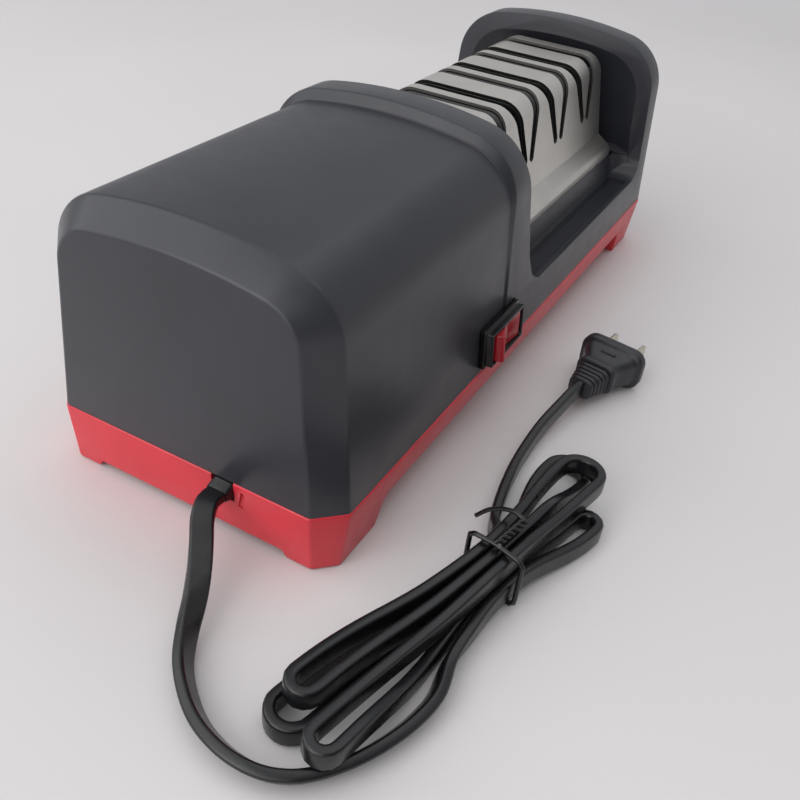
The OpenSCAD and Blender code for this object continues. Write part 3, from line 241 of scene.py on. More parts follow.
def loft(name, rings):
    """A closed solid through rings of points, each ring with the same number of them."""
    n, last = len(rings[0]), len(rings) - 1
    faces = [(i * n + k, i * n + (k + 1) % n, (i + 1) * n + (k + 1) % n, (i + 1) * n + k)
             for i in range(last) for k in range(n)]
    faces += [tuple(range(n))[::-1], tuple(last * n + k for k in range(n))]
    mesh = bpy.data.meshes.new(name)
    mesh.from_pydata([v for ring in rings for v in ring], [], faces)
    piece = bpy.data.objects.new(name, mesh)
    SCENE.collection.objects.link(piece)
    edit(piece, fix_normals)
    return piece


def sweep(name, line, section, up=Vector((0, 0, 1)), turned=None):
    """A tube of that section along the line, turned about it by turned(ring number) if given."""
    rings, last = [], len(line) - 1
    for i, p in enumerate(line):
        along = (line[min(i + 1, last)] - line[max(i - 1, 0)]).normalized()
        across = along.cross(up).normalized()
        over = across.cross(along)
        if turned:
            a = turned(i)
            across, over = across * cos(a) + over * sin(a), over * cos(a) - across * sin(a)
        rings.append([p + across * (y * MM) + over * (z * MM) for y, z in section])
    return loft(name, rings)


# %% [markdown]
# ## Working in edit mode
# Most steps below select one object, go into edit mode, run an operator and come back.
# Three small helpers do that, so each piece reads as a list of what is done to it.


# %% Edit helpers
def alone(piece):
    """Selects this object and no other."""
    bpy.ops.object.select_all(action="DESELECT")
    piece.select_set(True)
    bpy.context.view_layer.objects.active = piece
    return piece


def edit(piece, *steps):
    """Runs the steps in edit mode with everything selected."""
    alone(piece)
    bpy.ops.object.mode_set(mode="EDIT")
    for step in steps:
        bpy.ops.mesh.select_all(action="SELECT")
        step()
    bpy.ops.object.mode_set(mode="OBJECT")


def fix_normals():
    bpy.ops.mesh.normals_make_consistent(inside=False)


def settle(piece):
    """Puts the object's place, turn and size into its mesh."""
    alone(piece)
    bpy.ops.object.transform_apply(location=True, rotation=True, scale=True)
    return piece


def apply_all(piece):
    alone(piece)
    for modifier in list(piece.modifiers):
        bpy.ops.object.modifier_apply(modifier=modifier.name)
    return piece


def smooth(piece, degrees):
    alone(piece)
    bpy.ops.object.shade_smooth_by_angle(angle=radians(degrees))
    return piece


def bevel(piece, width, segments, degrees, clamp=True):
    step = piece.modifiers.new("edge", "BEVEL")
    step.width = width * MM
    step.segments = segments
    step.limit_method = "ANGLE"
    step.angle_limit = radians(degrees)
    step.use_clamp_overlap = clamp
    step.harden_normals = False
    return step


def combine(piece, other, operation="DIFFERENCE"):
    """Cuts the other solid from the piece, or adds it, and deletes the other."""
    step = piece.modifiers.new("cut", "BOOLEAN")
    step.operation = operation
    step.solver = "EXACT"
    step.object = other
    apply_all(piece)
    bpy.data.objects.remove(other, do_unlink=True)
    return piece


def weigh_normals(piece):
    """Large flat faces keep their own direction, and only the rounding turns."""
    step = piece.modifiers.new("weigh", "WEIGHTED_NORMAL")
    step.keep_sharp = True
    step.weight = 100


def finish_piece(piece, body, material, slot_name, *replaced):
    """Colours a piece, puts it on its body and hides the CAD nodes that it stands for."""
    piece.data.materials.clear()
    piece.data.materials.append(material)
    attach(piece, body)
    if replaced:
        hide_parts(*replaced)
    print(f"{piece.name}: {len(piece.data.polygons)} faces")
    return piece


# %% [markdown]
# ## Materials
# No real surface is one flat colour. A moulded plastic has a fine grain and uneven gloss,
# a steel sheet has brushing in one direction, and rubber is dusty. Each finish below is a
# Principled shader whose colour, roughness and bump come from noise on the object's own
# coordinates, so the pattern keeps its real size on every piece.


# %% Material helpers
class Finish:
    """A material under construction: a Principled shader and a few helper nodes."""

    def __init__(self, name, roughness, metallic=0.0):
        self.material = bpy.data.materials.new(name)
        self.material.use_nodes = True
        self.tree = self.material.node_tree
        self.shader = self.tree.nodes["Principled BSDF"]
        self.shader.inputs["Roughness"].default_value = roughness
        self.shader.inputs["Metallic"].default_value = metallic
        self.coords = self.add("ShaderNodeTexCoord")

    def add(self, kind, **values):
        node = self.tree.nodes.new(kind)
        for key, value in values.items():
            setattr(node, key, value)
        return node

    def link(self, out, to):
        self.tree.links.new(out, to)

    def noise(self, size_mm, detail=2.0, stretch=(1, 1, 1)):
        """Noise whose lumps are about size_mm across, longer where stretch is above 1."""
        mapping = self.add("ShaderNodeMapping")
        mapping.inputs["Scale"].default_value = [1 / (size_mm * MM * s) for s in stretch]
        texture = self.add("ShaderNodeTexNoise")
        texture.inputs["Scale"].default_value = 1.0
        texture.inputs["Detail"].default_value = detail
        self.link(self.coords.outputs["Object"], mapping.inputs["Vector"])
        self.link(mapping.outputs["Vector"], texture.inputs["Vector"])
        return texture.outputs["Fac"]

    def spread(self, fac, low, high, start=0.3, end=0.7):
        """Turns a 0 to 1 pattern into numbers between low and high."""
        node = self.add("ShaderNodeMapRange")
        limits = {"From Min": start, "From Max": end, "To Min": low, "To Max": high}
        for key, value in limits.items():
            node.inputs[key].default_value = value
        self.link(fac, node.inputs["Value"])
        return node.outputs["Result"]

    def ramp(self, fac, *stops):
        """Colours along a 0 to 1 pattern: (place, colour) pairs."""
        node = self.add("ShaderNodeValToRGB")
        elements = node.color_ramp.elements
        while len(elements) < len(stops):
            elements.new(0.5)
        for element, (spot, colour) in zip(elements, stops):
            element.position = spot
            element.color = (*colour, 1)
        self.link(fac, node.inputs["Fac"])
        return node.outputs["Color"]

    def colour(self, out):
        self.link(out, self.shader.inputs["Base Color"])

    def rough(self, out):
        self.link(out, self.shader.inputs["Roughness"])

    def bump(self, height, depth_mm):
        node = self.add("ShaderNodeBump")
        node.inputs["Strength"].default_value = 1.0
        node.inputs["Distance"].default_value = depth_mm * MM
        self.link(height, node.inputs["Height"])
        self.link(node.outputs["Normal"], self.shader.inputs["Normal"])


def tint(rgb, by):
    return tuple(min(1, c * by) for c in rgb)


def srgb(red, green, blue):
    """A colour as an image editor names it, 0 to 255, as the linear values Blender wants."""
    return tuple(((c / 255 + 0.055) / 1.055) ** 2.4 for c in (red, green, blue))


def moulded(name, rgb, roughness, grain_mm=0.35, depth_mm=0.006, uneven=0.06, vary=0.12):
    """Moulded plastic or rubber: a fine grain, uneven gloss and a trace of uneven colour."""
    finish = Finish(name, roughness)
    patches = finish.noise(18, 3)
    finish.colour(finish.ramp(patches, (0.3, tint(rgb, 1 - vary)), (0.7, tint(rgb, 1 + vary))))
    finish.rough(finish.spread(finish.noise(6, 4), roughness - uneven, roughness + uneven))
    finish.bump(finish.noise(grain_mm, 2), depth_mm)
    return finish.material


def brushed(name, rgb, roughness, along=(30, 1, 1), depth_mm=0.004, uneven=0.08):
    """Bare metal with fine parallel lines."""
    finish = Finish(name, roughness, metallic=1.0)
    lines = finish.noise(0.35, 3, along)
    finish.colour(finish.ramp(finish.noise(14, 2), (0.3, tint(rgb, 0.93)), (0.7, rgb)))
    finish.rough(finish.spread(lines, roughness - uneven, roughness + uneven))
    finish.bump(lines, depth_mm)
    return finish.material


# %% [markdown]
# Now the finishes of this sharpener, each under the name of its slot in the record.

# %% Finishes
finishes = {
    "black_plastic": moulded("black_plastic", srgb(46, 47, 53), 0.33, 0.5, 0.003, 0.03, 0.08),
    "red_plastic": moulded("red_plastic", srgb(212, 50, 62), 0.36, 0.5, 0.003, 0.04, 0.05),
    "foot_rubber": moulded("foot_rubber", srgb(34, 34, 36), 0.8, 0.6, 0.02),
    "steel_sheet": brushed("steel_sheet", srgb(214, 211, 205), 0.37, (60, 1, 1), 0.0006, 0.03),
    "guide_plastic": moulded("guide_plastic", srgb(15, 15, 17), 0.45, 0.4, 0.006),
    "lamination_steel": brushed("lamination_steel", srgb(141, 144, 150), 0.42, (1, 40, 40)),
    "copper_wire": brushed("copper_wire", srgb(190, 112, 52), 0.35, (1, 1, 30)),
    "cast_aluminium": brushed("cast_aluminium", srgb(176, 178, 182), 0.5, (1, 1, 1), 0.02),
    "ground_steel": brushed("ground_steel", srgb(201, 203, 206), 0.22, (1, 30, 30)),
    "bronze": brushed("bronze", srgb(176, 136, 70), 0.4, (1, 1, 1), 0.01),
    "pale_plastic": moulded("pale_plastic", srgb(217, 213, 200), 0.5, 0.4, 0.006, 0.05, 0.04),
    "coupling_rubber": moulded("coupling_rubber", srgb(51, 53, 58), 0.75, 0.5, 0.02),
    "spring_steel": brushed("spring_steel", srgb(110, 112, 118), 0.35),
    "switch_plastic": moulded("switch_plastic", srgb(12, 12, 14), 0.18, 0.4, 0.002, 0.03),
    "switch_red": moulded("switch_red", srgb(168, 24, 36), 0.2, 0.4, 0.002, 0.03, 0.05),
    "cord_rubber": moulded("cord_rubber", srgb(20, 21, 23), 0.28, 0.4, 0.006, 0.06),
    "plug_plastic": moulded("plug_plastic", srgb(40, 41, 46), 0.36, 0.4, 0.01),
    "blade_metal": brushed("blade_metal", srgb(206, 200, 184), 0.24, (20, 1, 1)),
    "wire_dark": moulded("wire_dark", srgb(61, 63, 69), 0.45),
    "wire_red": moulded("wire_red", srgb(150, 44, 40), 0.45),
    "wire_pale": moulded("wire_pale", srgb(216, 214, 208), 0.45),
    "grit_coarse": moulded("grit_coarse", srgb(96, 92, 88), 0.85, 0.25, 0.12, 0.05, 0.3),
    "grit_fine": moulded("grit_fine", srgb(128, 124, 118), 0.8, 0.18, 0.06, 0.05, 0.2),
    "grit_polish": moulded("grit_polish", srgb(185, 178, 166), 0.7, 0.3, 0.04, 0.05, 0.12),
    "screw_steel": brushed("screw_steel", srgb(150, 152, 156), 0.34, (1, 1, 1)),
}
slot_of = {row["node"]: row["material_slot"] for row in frame["record"]["subparts"]}
for name, node in nodes.items():
    node.data.materials.clear()
    node.data.materials.append(finishes[slot_of[name]])
print("finishes:", len(finishes))

# %% [markdown]
# ## Making the cord
# The line has a point about every 1.6 mm, which is fine enough for the hank's tight folds.
# The turn of each ring comes from its place along the line: lengths below are counted in
# millimetres from the notch.

# %% Cord
CORD_STEP, CORD_EDGE_R = 1.6, 1.1
CORD_SLACK = 0.05  # the runs of the hank lie this much clear of each other
FLAT_UNTIL, LEANS_FROM, LEANS_UNTIL, UPRIGHT_FROM = 5, 55, 135, 175
LEAN = radians(28)
cord_line = smooth_line(route, CORD_STEP * MM)
cord_section = round_section(CORD_T - CORD_SLACK, CORD_W, CORD_EDGE_R, 5)


def cord_turn(i):
    """Flat at the notch, then leaning outwards on the table, and upright in the hank."""
    along = i * CORD_STEP
    return -((pi / 2 - LEAN) * (1 - late(along, FLAT_UNTIL, LEANS_FROM))
             + LEAN * (1 - late(along, LEANS_UNTIL, UPRIGHT_FROM)))


flat_cord = sweep("flat_cord", cord_line, cord_section, turned=cord_turn)
smooth(flat_cord, 60)
finish_piece(flat_cord, "body", finishes["cord_rubber"], "cord_rubber",
             "cord_lead", "cord_hank", "cord_tail")

# %% [markdown]
# ## The plug
# A moulded two-blade plug is one soft black piece: a ribbed end that lets the cord bend, a
# collar, a body that flares towards the front, and a face plate with a rounded rim. Every
# part of it is a rectangle with round corners. So it is a loft through such sections, whose
# widths and heights swell and shrink along it, and each rib is a few of those sections.

# %% Plug body
def at_plug(piece):
    """Moves a piece made round the origin to the plug's place, turned as the plug lies."""
    piece.location = place(PLUG_AT[0], PLUG_AT[1], PLUG_Z)
    piece.rotation_euler = (0, 0, PLUG_TURN)
    return settle(piece)


RIBS, RIB_PITCH = 5, 2.3
FACE_X, FACE_T, PLUG_W, PLUG_H = 25.0, 4.5, 27.0, 17.0
plug_sections = []  # place along the plug, width, height and corner radius
for i in range(RIBS):
    x, wide, tall = i * RIB_PITCH, 10 + 0.9 * i, 8.4 + 0.5 * i
    plug_sections += [
        (x, wide - 1, tall - 1, 2.4), (x + 0.25, wide - 0.2, tall - 0.2, 2.8),
        (x + 0.5, wide, tall, 2.9), (x + 1.1, wide, tall, 2.9),
        (x + 1.4, wide - 0.3, tall - 0.3, 2.8), (x + 1.55, wide - 1.2, tall - 1.2, 2.4),
        (x + 1.6, wide - 2.4, tall - 2, 2.0), (x + RIB_PITCH - 0.1, wide - 2.2, tall - 1.8, 2.0)]
plug_sections += [
    (11.5, 15.2, 11.3, 3.2), (11.7, 16.1, 12.1, 3.6), (12.1, 16.5, 12.5, 3.8),
    (13.9, 16.5, 12.5, 3.8), (14.3, 16.1, 12.1, 3.6), (14.6, 15.0, 11.3, 3.4),
    (15.4, 14.9, 11.2, 3.4), (17, 16.0, 11.5, 3.6), (19, 18.0, 12.1, 3.8),
    (21, 20.3, 12.7, 4.0), (23, 22.2, 13.3, 4.2), (24.4, 23.2, 13.7, 4.4),
    (24.8, 24.2, 14.4, 4.6), (25.0, 25.6, 15.6, 5.0), (25.3, 26.5, 16.5, 5.3),
    (25.8, PLUG_W, PLUG_H, 5.5), (28.6, PLUG_W, PLUG_H, 5.5), (29.1, 26.7, 16.7, 5.4),
    (29.4, 26.0, 16.0, 5.1), (FACE_X + FACE_T, 25.0, 15.0, 4.7)]
plug = loft("plug_moulding", [
    [Vector((x * MM, y * MM, z * MM)) for y, z in round_section(w, h, r, 6)]
    for x, w, h, r in plug_sections])
# a small raised bar across the top and the bottom, for the fingers
for way in (1, -1):
    bar = [[Vector((x * MM, y * MM, way * z * MM))
            for y, z in ((-w, 5.6), (w, 5.6), (w, h), (-w, h))]
           for x, w, h in ((20.2, 2.8, 6.4), (20.5, 3.1, 6.9), (21.6, 3.1, 7.0), (21.9, 2.8, 6.6))]
    combine(plug, loft("grip_bar", bar), "UNION")
smooth(plug, 40)
at_plug(plug)
finish_piece(plug, "body", finishes["plug_plastic"], "plug_plastic", "plug_body")

# %% [markdown]
# ## The plug's blades
# Two flat plated blades stand 12.7 mm apart. Each is a thin block whose front face is pushed
# forwards and made smaller step by step, as by hand with extrude and scale, so that its end
# is drawn in to a blunt point and finds the slot of a socket.

# %% Pushing a face forwards
def start_block(name, x, depth, width, height):
    """A block whose back face is at x, in millimetres, ready to be pushed forwards."""
    bpy.ops.object.select_all(action="DESELECT")
    bpy.ops.mesh.primitive_cube_add(size=1, location=((x + depth / 2) * MM, 0, 0))
    piece = bpy.context.object
    piece.name = name
    piece.scale = (depth * MM, width * MM, height * MM)
    return settle(piece)


def push_front(piece, depth, width, height):
    """Extrudes the foremost face by depth and makes it width by height."""
    front = max(v.co.x for v in piece.data.vertices)
    ring = [v.co for v in piece.data.vertices if front - v.co.x < 1e-6]
    old_w = 2 * max(c.y for c in ring)
    old_h = 2 * max(c.z for c in ring)
    alone(piece)
    bpy.ops.object.mode_set(mode="EDIT")
    bpy.ops.mesh.select_mode(type="FACE")
    bpy.ops.mesh.select_all(action="DESELECT")
    bpy.ops.object.mode_set(mode="OBJECT")
    for face in piece.data.polygons:
        face.select = front - face.center.x < 1e-6 and face.normal.x > 0.9
    bpy.ops.object.mode_set(mode="EDIT")
    bpy.ops.mesh.extrude_region_move(TRANSFORM_OT_translate={"value": (depth * MM, 0, 0)})
    bpy.ops.transform.resize(value=(1, width * MM / old_w, height * MM / old_h),
                             center_override=(front + depth * MM, 0, 0))
    bpy.ops.object.mode_set(mode="OBJECT")


# %% Blades
BLADE_GAP, BLADE_T, BLADE_H = 12.7, 1.5, 6.3
for side in (-1, 1):
    name = f"plug_blade_{'left' if side > 0 else 'right'}"
    blade = start_block(name, FACE_X + 0.3, 15, BLADE_T, BLADE_H)
    push_front(blade, 2.6, BLADE_T, BLADE_H)
    push_front(blade, 1.0, BLADE_T * 0.8, BLADE_H - 1.2)
    push_front(blade, 0.6, BLADE_T * 0.5, BLADE_H - 2.4)
    bevel(blade, 0.18, 2, 25)
    apply_all(blade)
    blade.location = (0, side * BLADE_GAP / 2 * MM, 0)
    settle(blade)
    at_plug(blade)
    smooth(blade, 40)
    finish_piece(blade, "body", finishes["blade_metal"], "blade_metal", "plug_blades")

# %% [markdown]
# ## The twist tie
# A thin coated wire goes once round the waist of the hank. Its ends are twisted round each
# other on top, and one of them stands off. Each length is a sweep of a small round section.

# %% Tie
TIE_R = 0.8
TIE_HALF = 1.5 * LAY + CORD_T / 2 + 0.6 + TIE_R
TIE_LOW = TIE_R + 0.05
TIE_HIGH = CORD_HIGH + TIE_LIFT + CORD_W / 2 + 0.6 + TIE_R
TIE_BEND = 2.5
KNOT_Z = TIE_HIGH + 1
along_hank = Vector((cos(HANK_TURN), sin(HANK_TURN), 0))
wire_section = round_section(2 * TIE_R, 2 * TIE_R, TIE_R - 0.01, 3)


def tie_point(u, v, z):
    return place(*beside_hank(u, v, z))


def corner(v, z, start):
    return [tie_point(0, v + TIE_BEND * cos(radians(t)), z + TIE_BEND * sin(radians(t)))
            for t in range(start, start + 91, 30)]


inner = TIE_HALF - TIE_BEND
band_points = ([tie_point(0.6, 0.4, TIE_HIGH + 0.2)] + corner(-inner, TIE_HIGH - TIE_BEND, 90)
               + corner(-inner, TIE_LOW + TIE_BEND, 180) + corner(inner, TIE_LOW + TIE_BEND, 270)
               + corner(inner, TIE_HIGH - TIE_BEND, 0) + [tie_point(0.6, -0.4, TIE_HIGH + 0.2)])
tie_band = sweep("tie_band", smooth_line(band_points, 0.8 * MM), wire_section, along_hank)
smooth(tie_band, 60)
finish_piece(tie_band, "body", finishes["cord_rubber"], "cord_rubber", "twist_tie")
TWIST_LENGTH, TWIST_TURNS, TWIST_R = 14.0, 3.0, 0.75
for strand in range(2):
    twist_line = []
    for i in range(49):
        t = i / 48
        a = 2 * pi * (TWIST_TURNS * t + strand / 2)
        twist_line.append(tie_point(TWIST_LENGTH * t, TWIST_R * cos(a), KNOT_Z + TWIST_R * sin(a)))
    if strand:
        away = [tie_point(*p) for p in ((14.6, 3.6, KNOT_Z + 0.6), (14.4, 8, KNOT_Z - 0.8),
                                        (13.6, 12.4, KNOT_Z - 3.6), (12.4, 15.8, KNOT_Z - 7.6))]
        twist_line += smooth_line([twist_line[-1]] + away, 0.8 * MM)[1:]
    thinner = [(y * 0.9, z * 0.9) for y, z in wire_section]
    wire = sweep(f"tie_twist_{strand + 1}", twist_line, thinner, Vector((0.1, 0.2, 1)))
    smooth(wire, 60)
    finish_piece(wire, "body", finishes["cord_rubber"], "cord_rubber", "twist_tie")

# %% [markdown]
# ## The housing's outline
# Across the body the housing has leaning sides, wide round top edges and a slightly domed
# top. Its round edges are arcs that meet without a kink, so the light runs over them
# evenly. The outline is a function, because the motor cover, the shoulder and both ends
# are the same outline at other sizes.

# %% Outlines
BODY_LEN, BASE_H, DOME, WALL = 304.0, 23.0, 2.4, 2.5
EDGE_STEPS, TOP_STEPS = 14, 6
# half width at the bottom, half width at the top, height, radius of the top edges
CORD_END = (46.5, 40.2, 89.5, 14.5)
MOTOR = (55, 47.7, 97, 22)
BAND = (55, 49, 101, 23)
FAR_END = (46.5, 40.2, 93.5, 14.5)
END_TAPER, BAND_RISE = 8.5, 4


def body_outline(low, top, high, radius, inset=0.0, floor=BASE_H):
    """An outline from those four numbers, drawn in by inset, as (across, up) pairs."""
    lean = math.atan((low - top) / (high - BASE_H))
    cz = high - radius
    cy = low - (cz - BASE_H) * math.tan(lean) - radius / cos(lean)
    crown = radius + (cy * cy + DOME * DOME) / (2 * DOME)
    join = math.atan2(crown - radius - DOME, cy)
    half = [(low - inset / cos(lean) + (BASE_H - floor) * math.tan(lean), floor)]
    for i in range(EDGE_STEPS + 1):
        t = lean + (join - lean) * i / EDGE_STEPS
        half.append((cy + (radius - inset) * cos(t), cz + (radius - inset) * sin(t)))
    for i in range(1, TOP_STEPS + 1):
        t = join + (pi / 2 - join) * i / TOP_STEPS
        half.append(((crown - inset) * cos(t), high + DOME - crown + (crown - inset) * sin(t)))
    return half + [(-y, z) for y, z in half[-2::-1]]


def between(a, b, t):
    return [(p[0] + (q[0] - p[0]) * t, p[1] + (q[1] - p[1]) * t) for p, q in zip(a, b)]


def rounded(points, radius, steps=4):
    """A line of (x, height) points whose inner corners are rounded."""
    line = [points[0]]
    for a, b, c in zip(points, points[1:], points[2:]):
        a, b, c = Vector(a), Vector(b), Vector(c)
        back, on = (a - b).normalized(), (c - b).normalized()
        half = back.angle(on) / 2
        reach = radius / math.tan(half)
        start, end = b + back * reach, b + on * reach
        middle = b + (back + on).normalized() * (radius / sin(half))
        for i in range(steps + 1):
            out = (start - middle).lerp(end - middle, i / steps).normalized() * radius
            line.append(tuple(middle + out))
    return line + [points[-1]]


def housing_rings():
    """The outlines along the body, from the cord end to the far end."""
    end, motor, band, far = (body_outline(*sizes) for sizes in (CORD_END, MOTOR, BAND, FAR_END))
    far_x = BODY_LEN - END_TAPER
    taper = [(0, -3), (0, 0), (END_TAPER, END_TAPER), (60, END_TAPER)]
    rise = [(90, 0), (115.5, 0), (117.7, BAND_RISE), (125, BAND_RISE)]
    far_taper = [(285, END_TAPER), (far_x, END_TAPER), (BODY_LEN, 0), (BODY_LEN, -3)]
    rows = [(x, between(end, motor, s / END_TAPER)) for x, s in rounded(taper, 2.2)]
    rows += [(x, between(motor, band, s / BAND_RISE)) for x, s in rounded(rise, 1.1)]
    rows += [(x, between(far, band, s / END_TAPER)) for x, s in rounded(far_taper, 2.2)]
    return [[place(x, y, z) for y, z in outline] for x, outline in rows]


print("points of an outline:", len(body_outline(*MOTOR)))

# %% [markdown]
# ## The housing's solid and its cutters
# The shell is one loft through those outlines. What is open in it is then cut away, as the
# mould's cores leave it: the motor room, the window between the shoulder and the hoop, the
# two troughs, the dish in the hoop, and the holes for the discs, the shaft and the switch.
# Each cutter is a simple solid of its own, taken away with a Boolean modifier.

# %% Cutters
DECK_HALF, DECK_Z, TROUGH_Z, RAIL_Z = 39.2, 48.0, 35.0, 38.7
WINDOW_X, WINDOW_END = 130.0, 282.0
SIDE_LEAN = math.atan(7.3 / 74)


def side_y(z):
    return 55 - (z - BASE_H) * math.tan(SIDE_LEAN)


def slab(name, x0, x1, outline):
    """A solid of an outline across the body, from x0 to x1."""
    return loft(name, [[place(x, y, z) for y, z in outline] for x in (x0, x1)])


def side_slab(name, outline, y0, y1):
    """A solid of an outline seen from the side."""
    return loft(name, [[place(x, y, z) for x, z in outline] for y in (y0, y1)])


def block(name, low, high):
    (x0, y0, z0), (x1, y1, z1) = low, high
    return slab(name, x0, x1, [(y0, z0), (y1, z0), (y1, z1), (y0, z1)])


def window_line():
    """The window's edge from the side: a curve down to the rail, and a round corner."""
    curve = smooth_line([Vector((x, z, 0)) for x, z in (
        (130, 90), (132, 76), (136.5, 56), (139.2, 49), (143, 43), (149.5, 38.8))], 2.5)
    down = [(p.x, p.y) for p in curve]
    corner = [(WINDOW_END - 9 + 10 * sin(a), RAIL_Z + 10 - 10 * cos(a))
              for a in (radians(10 * i) for i in range(9))]
    upright = [(283, 60), (282, 76), (282, 117)]
    return [(130, 117)] + down[:-1] + [(150.5, RAIL_Z)] + corner + upright


# %% Housing
housing = loft("housing_shell", housing_rings())
combine(housing, slab("motor_room", WALL, 127.5, body_outline(*CORD_END, WALL, 20)))
combine(housing, slab("wide_room", 11, 127.5, body_outline(*MOTOR, WALL, 20)))
under_deck = [(52.4, 20), (51.0, 32.5), (40.4, 32.5), (36.7, 45.5)]
under_deck += [(-y, z) for y, z in under_deck[::-1]]
combine(housing, slab("under_deck", 127.4, 293, under_deck))
combine(housing, slab("hoop_room", 290.5, 301.5, body_outline(*FAR_END, WALL, 20)))
window = side_slab("window", window_line(), -60, 60)
deck = [(DECK_HALF + 3, 0), (DECK_HALF + 3, TROUGH_Z), (DECK_HALF, DECK_Z)]
deck += [(-y, z) for y, z in deck[::-1]]
combine(window, slab("deck", 120, 290, deck))
combine(housing, window)
for side in (1, -1):
    trough = [(side * y, z) for y, z in (
        (DECK_HALF + 3, TROUGH_Z), (side_y(RAIL_Z) - 2.2, 37.5), (side_y(RAIL_Z) - 1.6, 39.7),
        (DECK_HALF + 3, 39.7))]
    combine(housing, slab("trough", 149.5, WINDOW_END - 9, trough))
combine(housing, block("upright_cut", (WINDOW_X, -DECK_HALF, DECK_Z), (WINDOW_END, DECK_HALF, 117)))
band = body_outline(*BAND)
dish_rows = []
for x, side, height in ((281.5, 0.875, 0.865), (282, 0.87, 0.86), (283.2, 0.845, 0.83),
                        (285.5, 0.79, 0.76), (288, 0.7, 0.66)):
    dish_rows.append([place(x, y * side, max(50 + (z - 50) * height, 48.2 + (x - 282) * 0.3))
                      for y, z in band])
combine(housing, loft("dish", dish_rows))
combine(housing, block("disc_opening", (131.8, -25, 44), (275, 25, 52)))
combine(housing, block("shaft_way", (126, -12.5, 44), (132, 12.5, 60.5)))


def on_side(x, out, up):
    """A point by the switch: along the body, out of the leaning side, and up it."""
    return place(111 + x, -out * cos(SIDE_LEAN) + up * sin(SIDE_LEAN) - side_y(33),
                 33 + out * sin(SIDE_LEAN) + up * cos(SIDE_LEAN))


def switch_block(name, half_l, half_h, inner, outer):
    return loft(name, [[on_side(x, out, z) for x, z in (
        (-half_l, -half_h), (half_l, -half_h), (half_l, half_h), (-half_l, half_h))]
        for out in (inner, outer)])


combine(housing, switch_block("switch_seat", 15.3, 7.8, -0.1, 2))
combine(housing, switch_block("switch_hole", 13.6, 6.9, -8, 2))
COVE_R = 8
for side in (1, -1):
    cove = []
    for z, wall_y in ((TROUGH_Z - 0.5, 42.3), (DECK_Z, DECK_HALF)):
        bend = [(274 + COVE_R * sin(a), wall_y + COVE_R - COVE_R * cos(a))
                for a in (pi / 16 * i for i in range(9))]
        ring = [(273.9, wall_y - 1), (284, wall_y - 1), (284, wall_y + COVE_R)] + bend[::-1]
        cove.append([place(x, side * y, z) for x, y in ring])
    combine(housing, loft("cove", cove), "UNION")
edit(housing, lambda: bpy.ops.mesh.remove_doubles(threshold=2e-5),
     lambda: bpy.ops.mesh.dissolve_limited(angle_limit=radians(0.2)))
bevel(housing, 0.6, 3, 32)
weigh_normals(housing)
apply_all(housing)
smooth(housing, 40)
finish_piece(housing, "body", finishes["black_plastic"], "black_plastic", "upper_housing")

# %% [markdown]
# ## The red base
# The base is a tray with a leg at each end. Seen from above it is a rectangle with cut
# corners, a little smaller below so that it leaves its mould, and its top edge stands just
# proud of the housing. It is a loft through such outlines at rising heights, with rounded
# corners, lower rim and top edge. The arch between the legs, the hollows, the notch for the
# cord and the holes are then cut, and the posts for screws, feet and motor are added.

# %% Base outlines
BODY_HALF, CORNER, DRAFT = 55, 8.5, 2.1
FLOOR_Z, FLOOR_TOP, LEG_LEN = 12.0, 14.5, 29.5
CORNER_R, SCREW_R, BORE_R = 1.8, 1.85, 3.8


def base_ring(z, inset):
    """The base from above, drawn in by inset. Its cut corners shrink with it, up to DRAFT."""
    half, corner, x0, x1 = BODY_HALF - inset, CORNER - min(inset, DRAFT), inset, BODY_LEN - inset
    line = rounded([(HALF_LENGTH, -half), (x1 - corner, -half), (x1, corner - half),
                    (x1, half - corner), (x1 - corner, half), (x0 + corner, half),
                    (x0, half - corner), (x0, corner - half), (x0 + corner, -half),
                    (HALF_LENGTH, -half)], CORNER_R, 4)
    return [place(x, y, z) for x, y in line[:-1]]


def post(name, x, y, radius, z0, z1):
    """An upright round solid."""
    circle = [(x + radius * cos(a), y + radius * sin(a)) for a in (pi / 14 * i for i in range(28))]
    return loft(name, [[place(px, py, z) for px, py in circle] for z in (z0, z1)])


# places of the posts, as (along, across)
LEG_SCREWS = [(x, y) for x in (23, BODY_LEN - 23) for y in (-47.5, 47.5)]
MID_SCREWS = [(134, -47.5), (134, 47.5)]
BLOCK_SCREWS = [(x, y) for x in (123, 271.2) for y in (-17, 17)]
FEET = [(x, y) for x in (12.5, BODY_LEN - 12.5) for y in (-42, 42)]
CLAMP_POSTS = [(22.5, NOTCH_Y - 7.8), (22.5, NOTCH_Y + 7.8)]
MOTOR_PADS = [(x, y) for x in (25.5, 83.5) for y in (-30, 20)]
print("screws through the base:", len(LEG_SCREWS + MID_SCREWS + BLOCK_SCREWS))

# %% Base shell
BASE_LEVELS = [(0.1, 2.9), (0.18, 2.5), (0.4, 2.2), (0.8, 2.06), (22.1, -0.32), (22.5, -0.28),
               (22.85, -0.05), (23, 0.3)]  # height and inset, from the rim to the top edge
base = loft("base_shell", [base_ring(z, inset) for z, inset in BASE_LEVELS])
arch = [(28.4, -2), (31.7, 9.5), (33.9, 12), (270.1, 12), (272.3, 9.5), (275.6, -2)]
combine(base, side_slab("arch", rounded(arch, 1.5, 3), -60, 60))
end_gap = rounded([(-39.2, -2), (-36, 3), (36, 3), (39.2, -2)], 1, 3)
for x0, x1 in ((-1, LEG_LEN), (BODY_LEN - LEG_LEN, BODY_LEN + 1)):
    combine(base, slab("end_cut", x0, x1, end_gap))
for x0, x1 in ((5.1, 27), (277, 298.9)):
    combine(base, block("end_hollow", (x0, -46.5, -1), (x1, 46.5, FLOOR_Z)))
combine(base, loft("tray_hollow", [base_ring(FLOOR_TOP, 3.1), base_ring(24, 2.5)]))

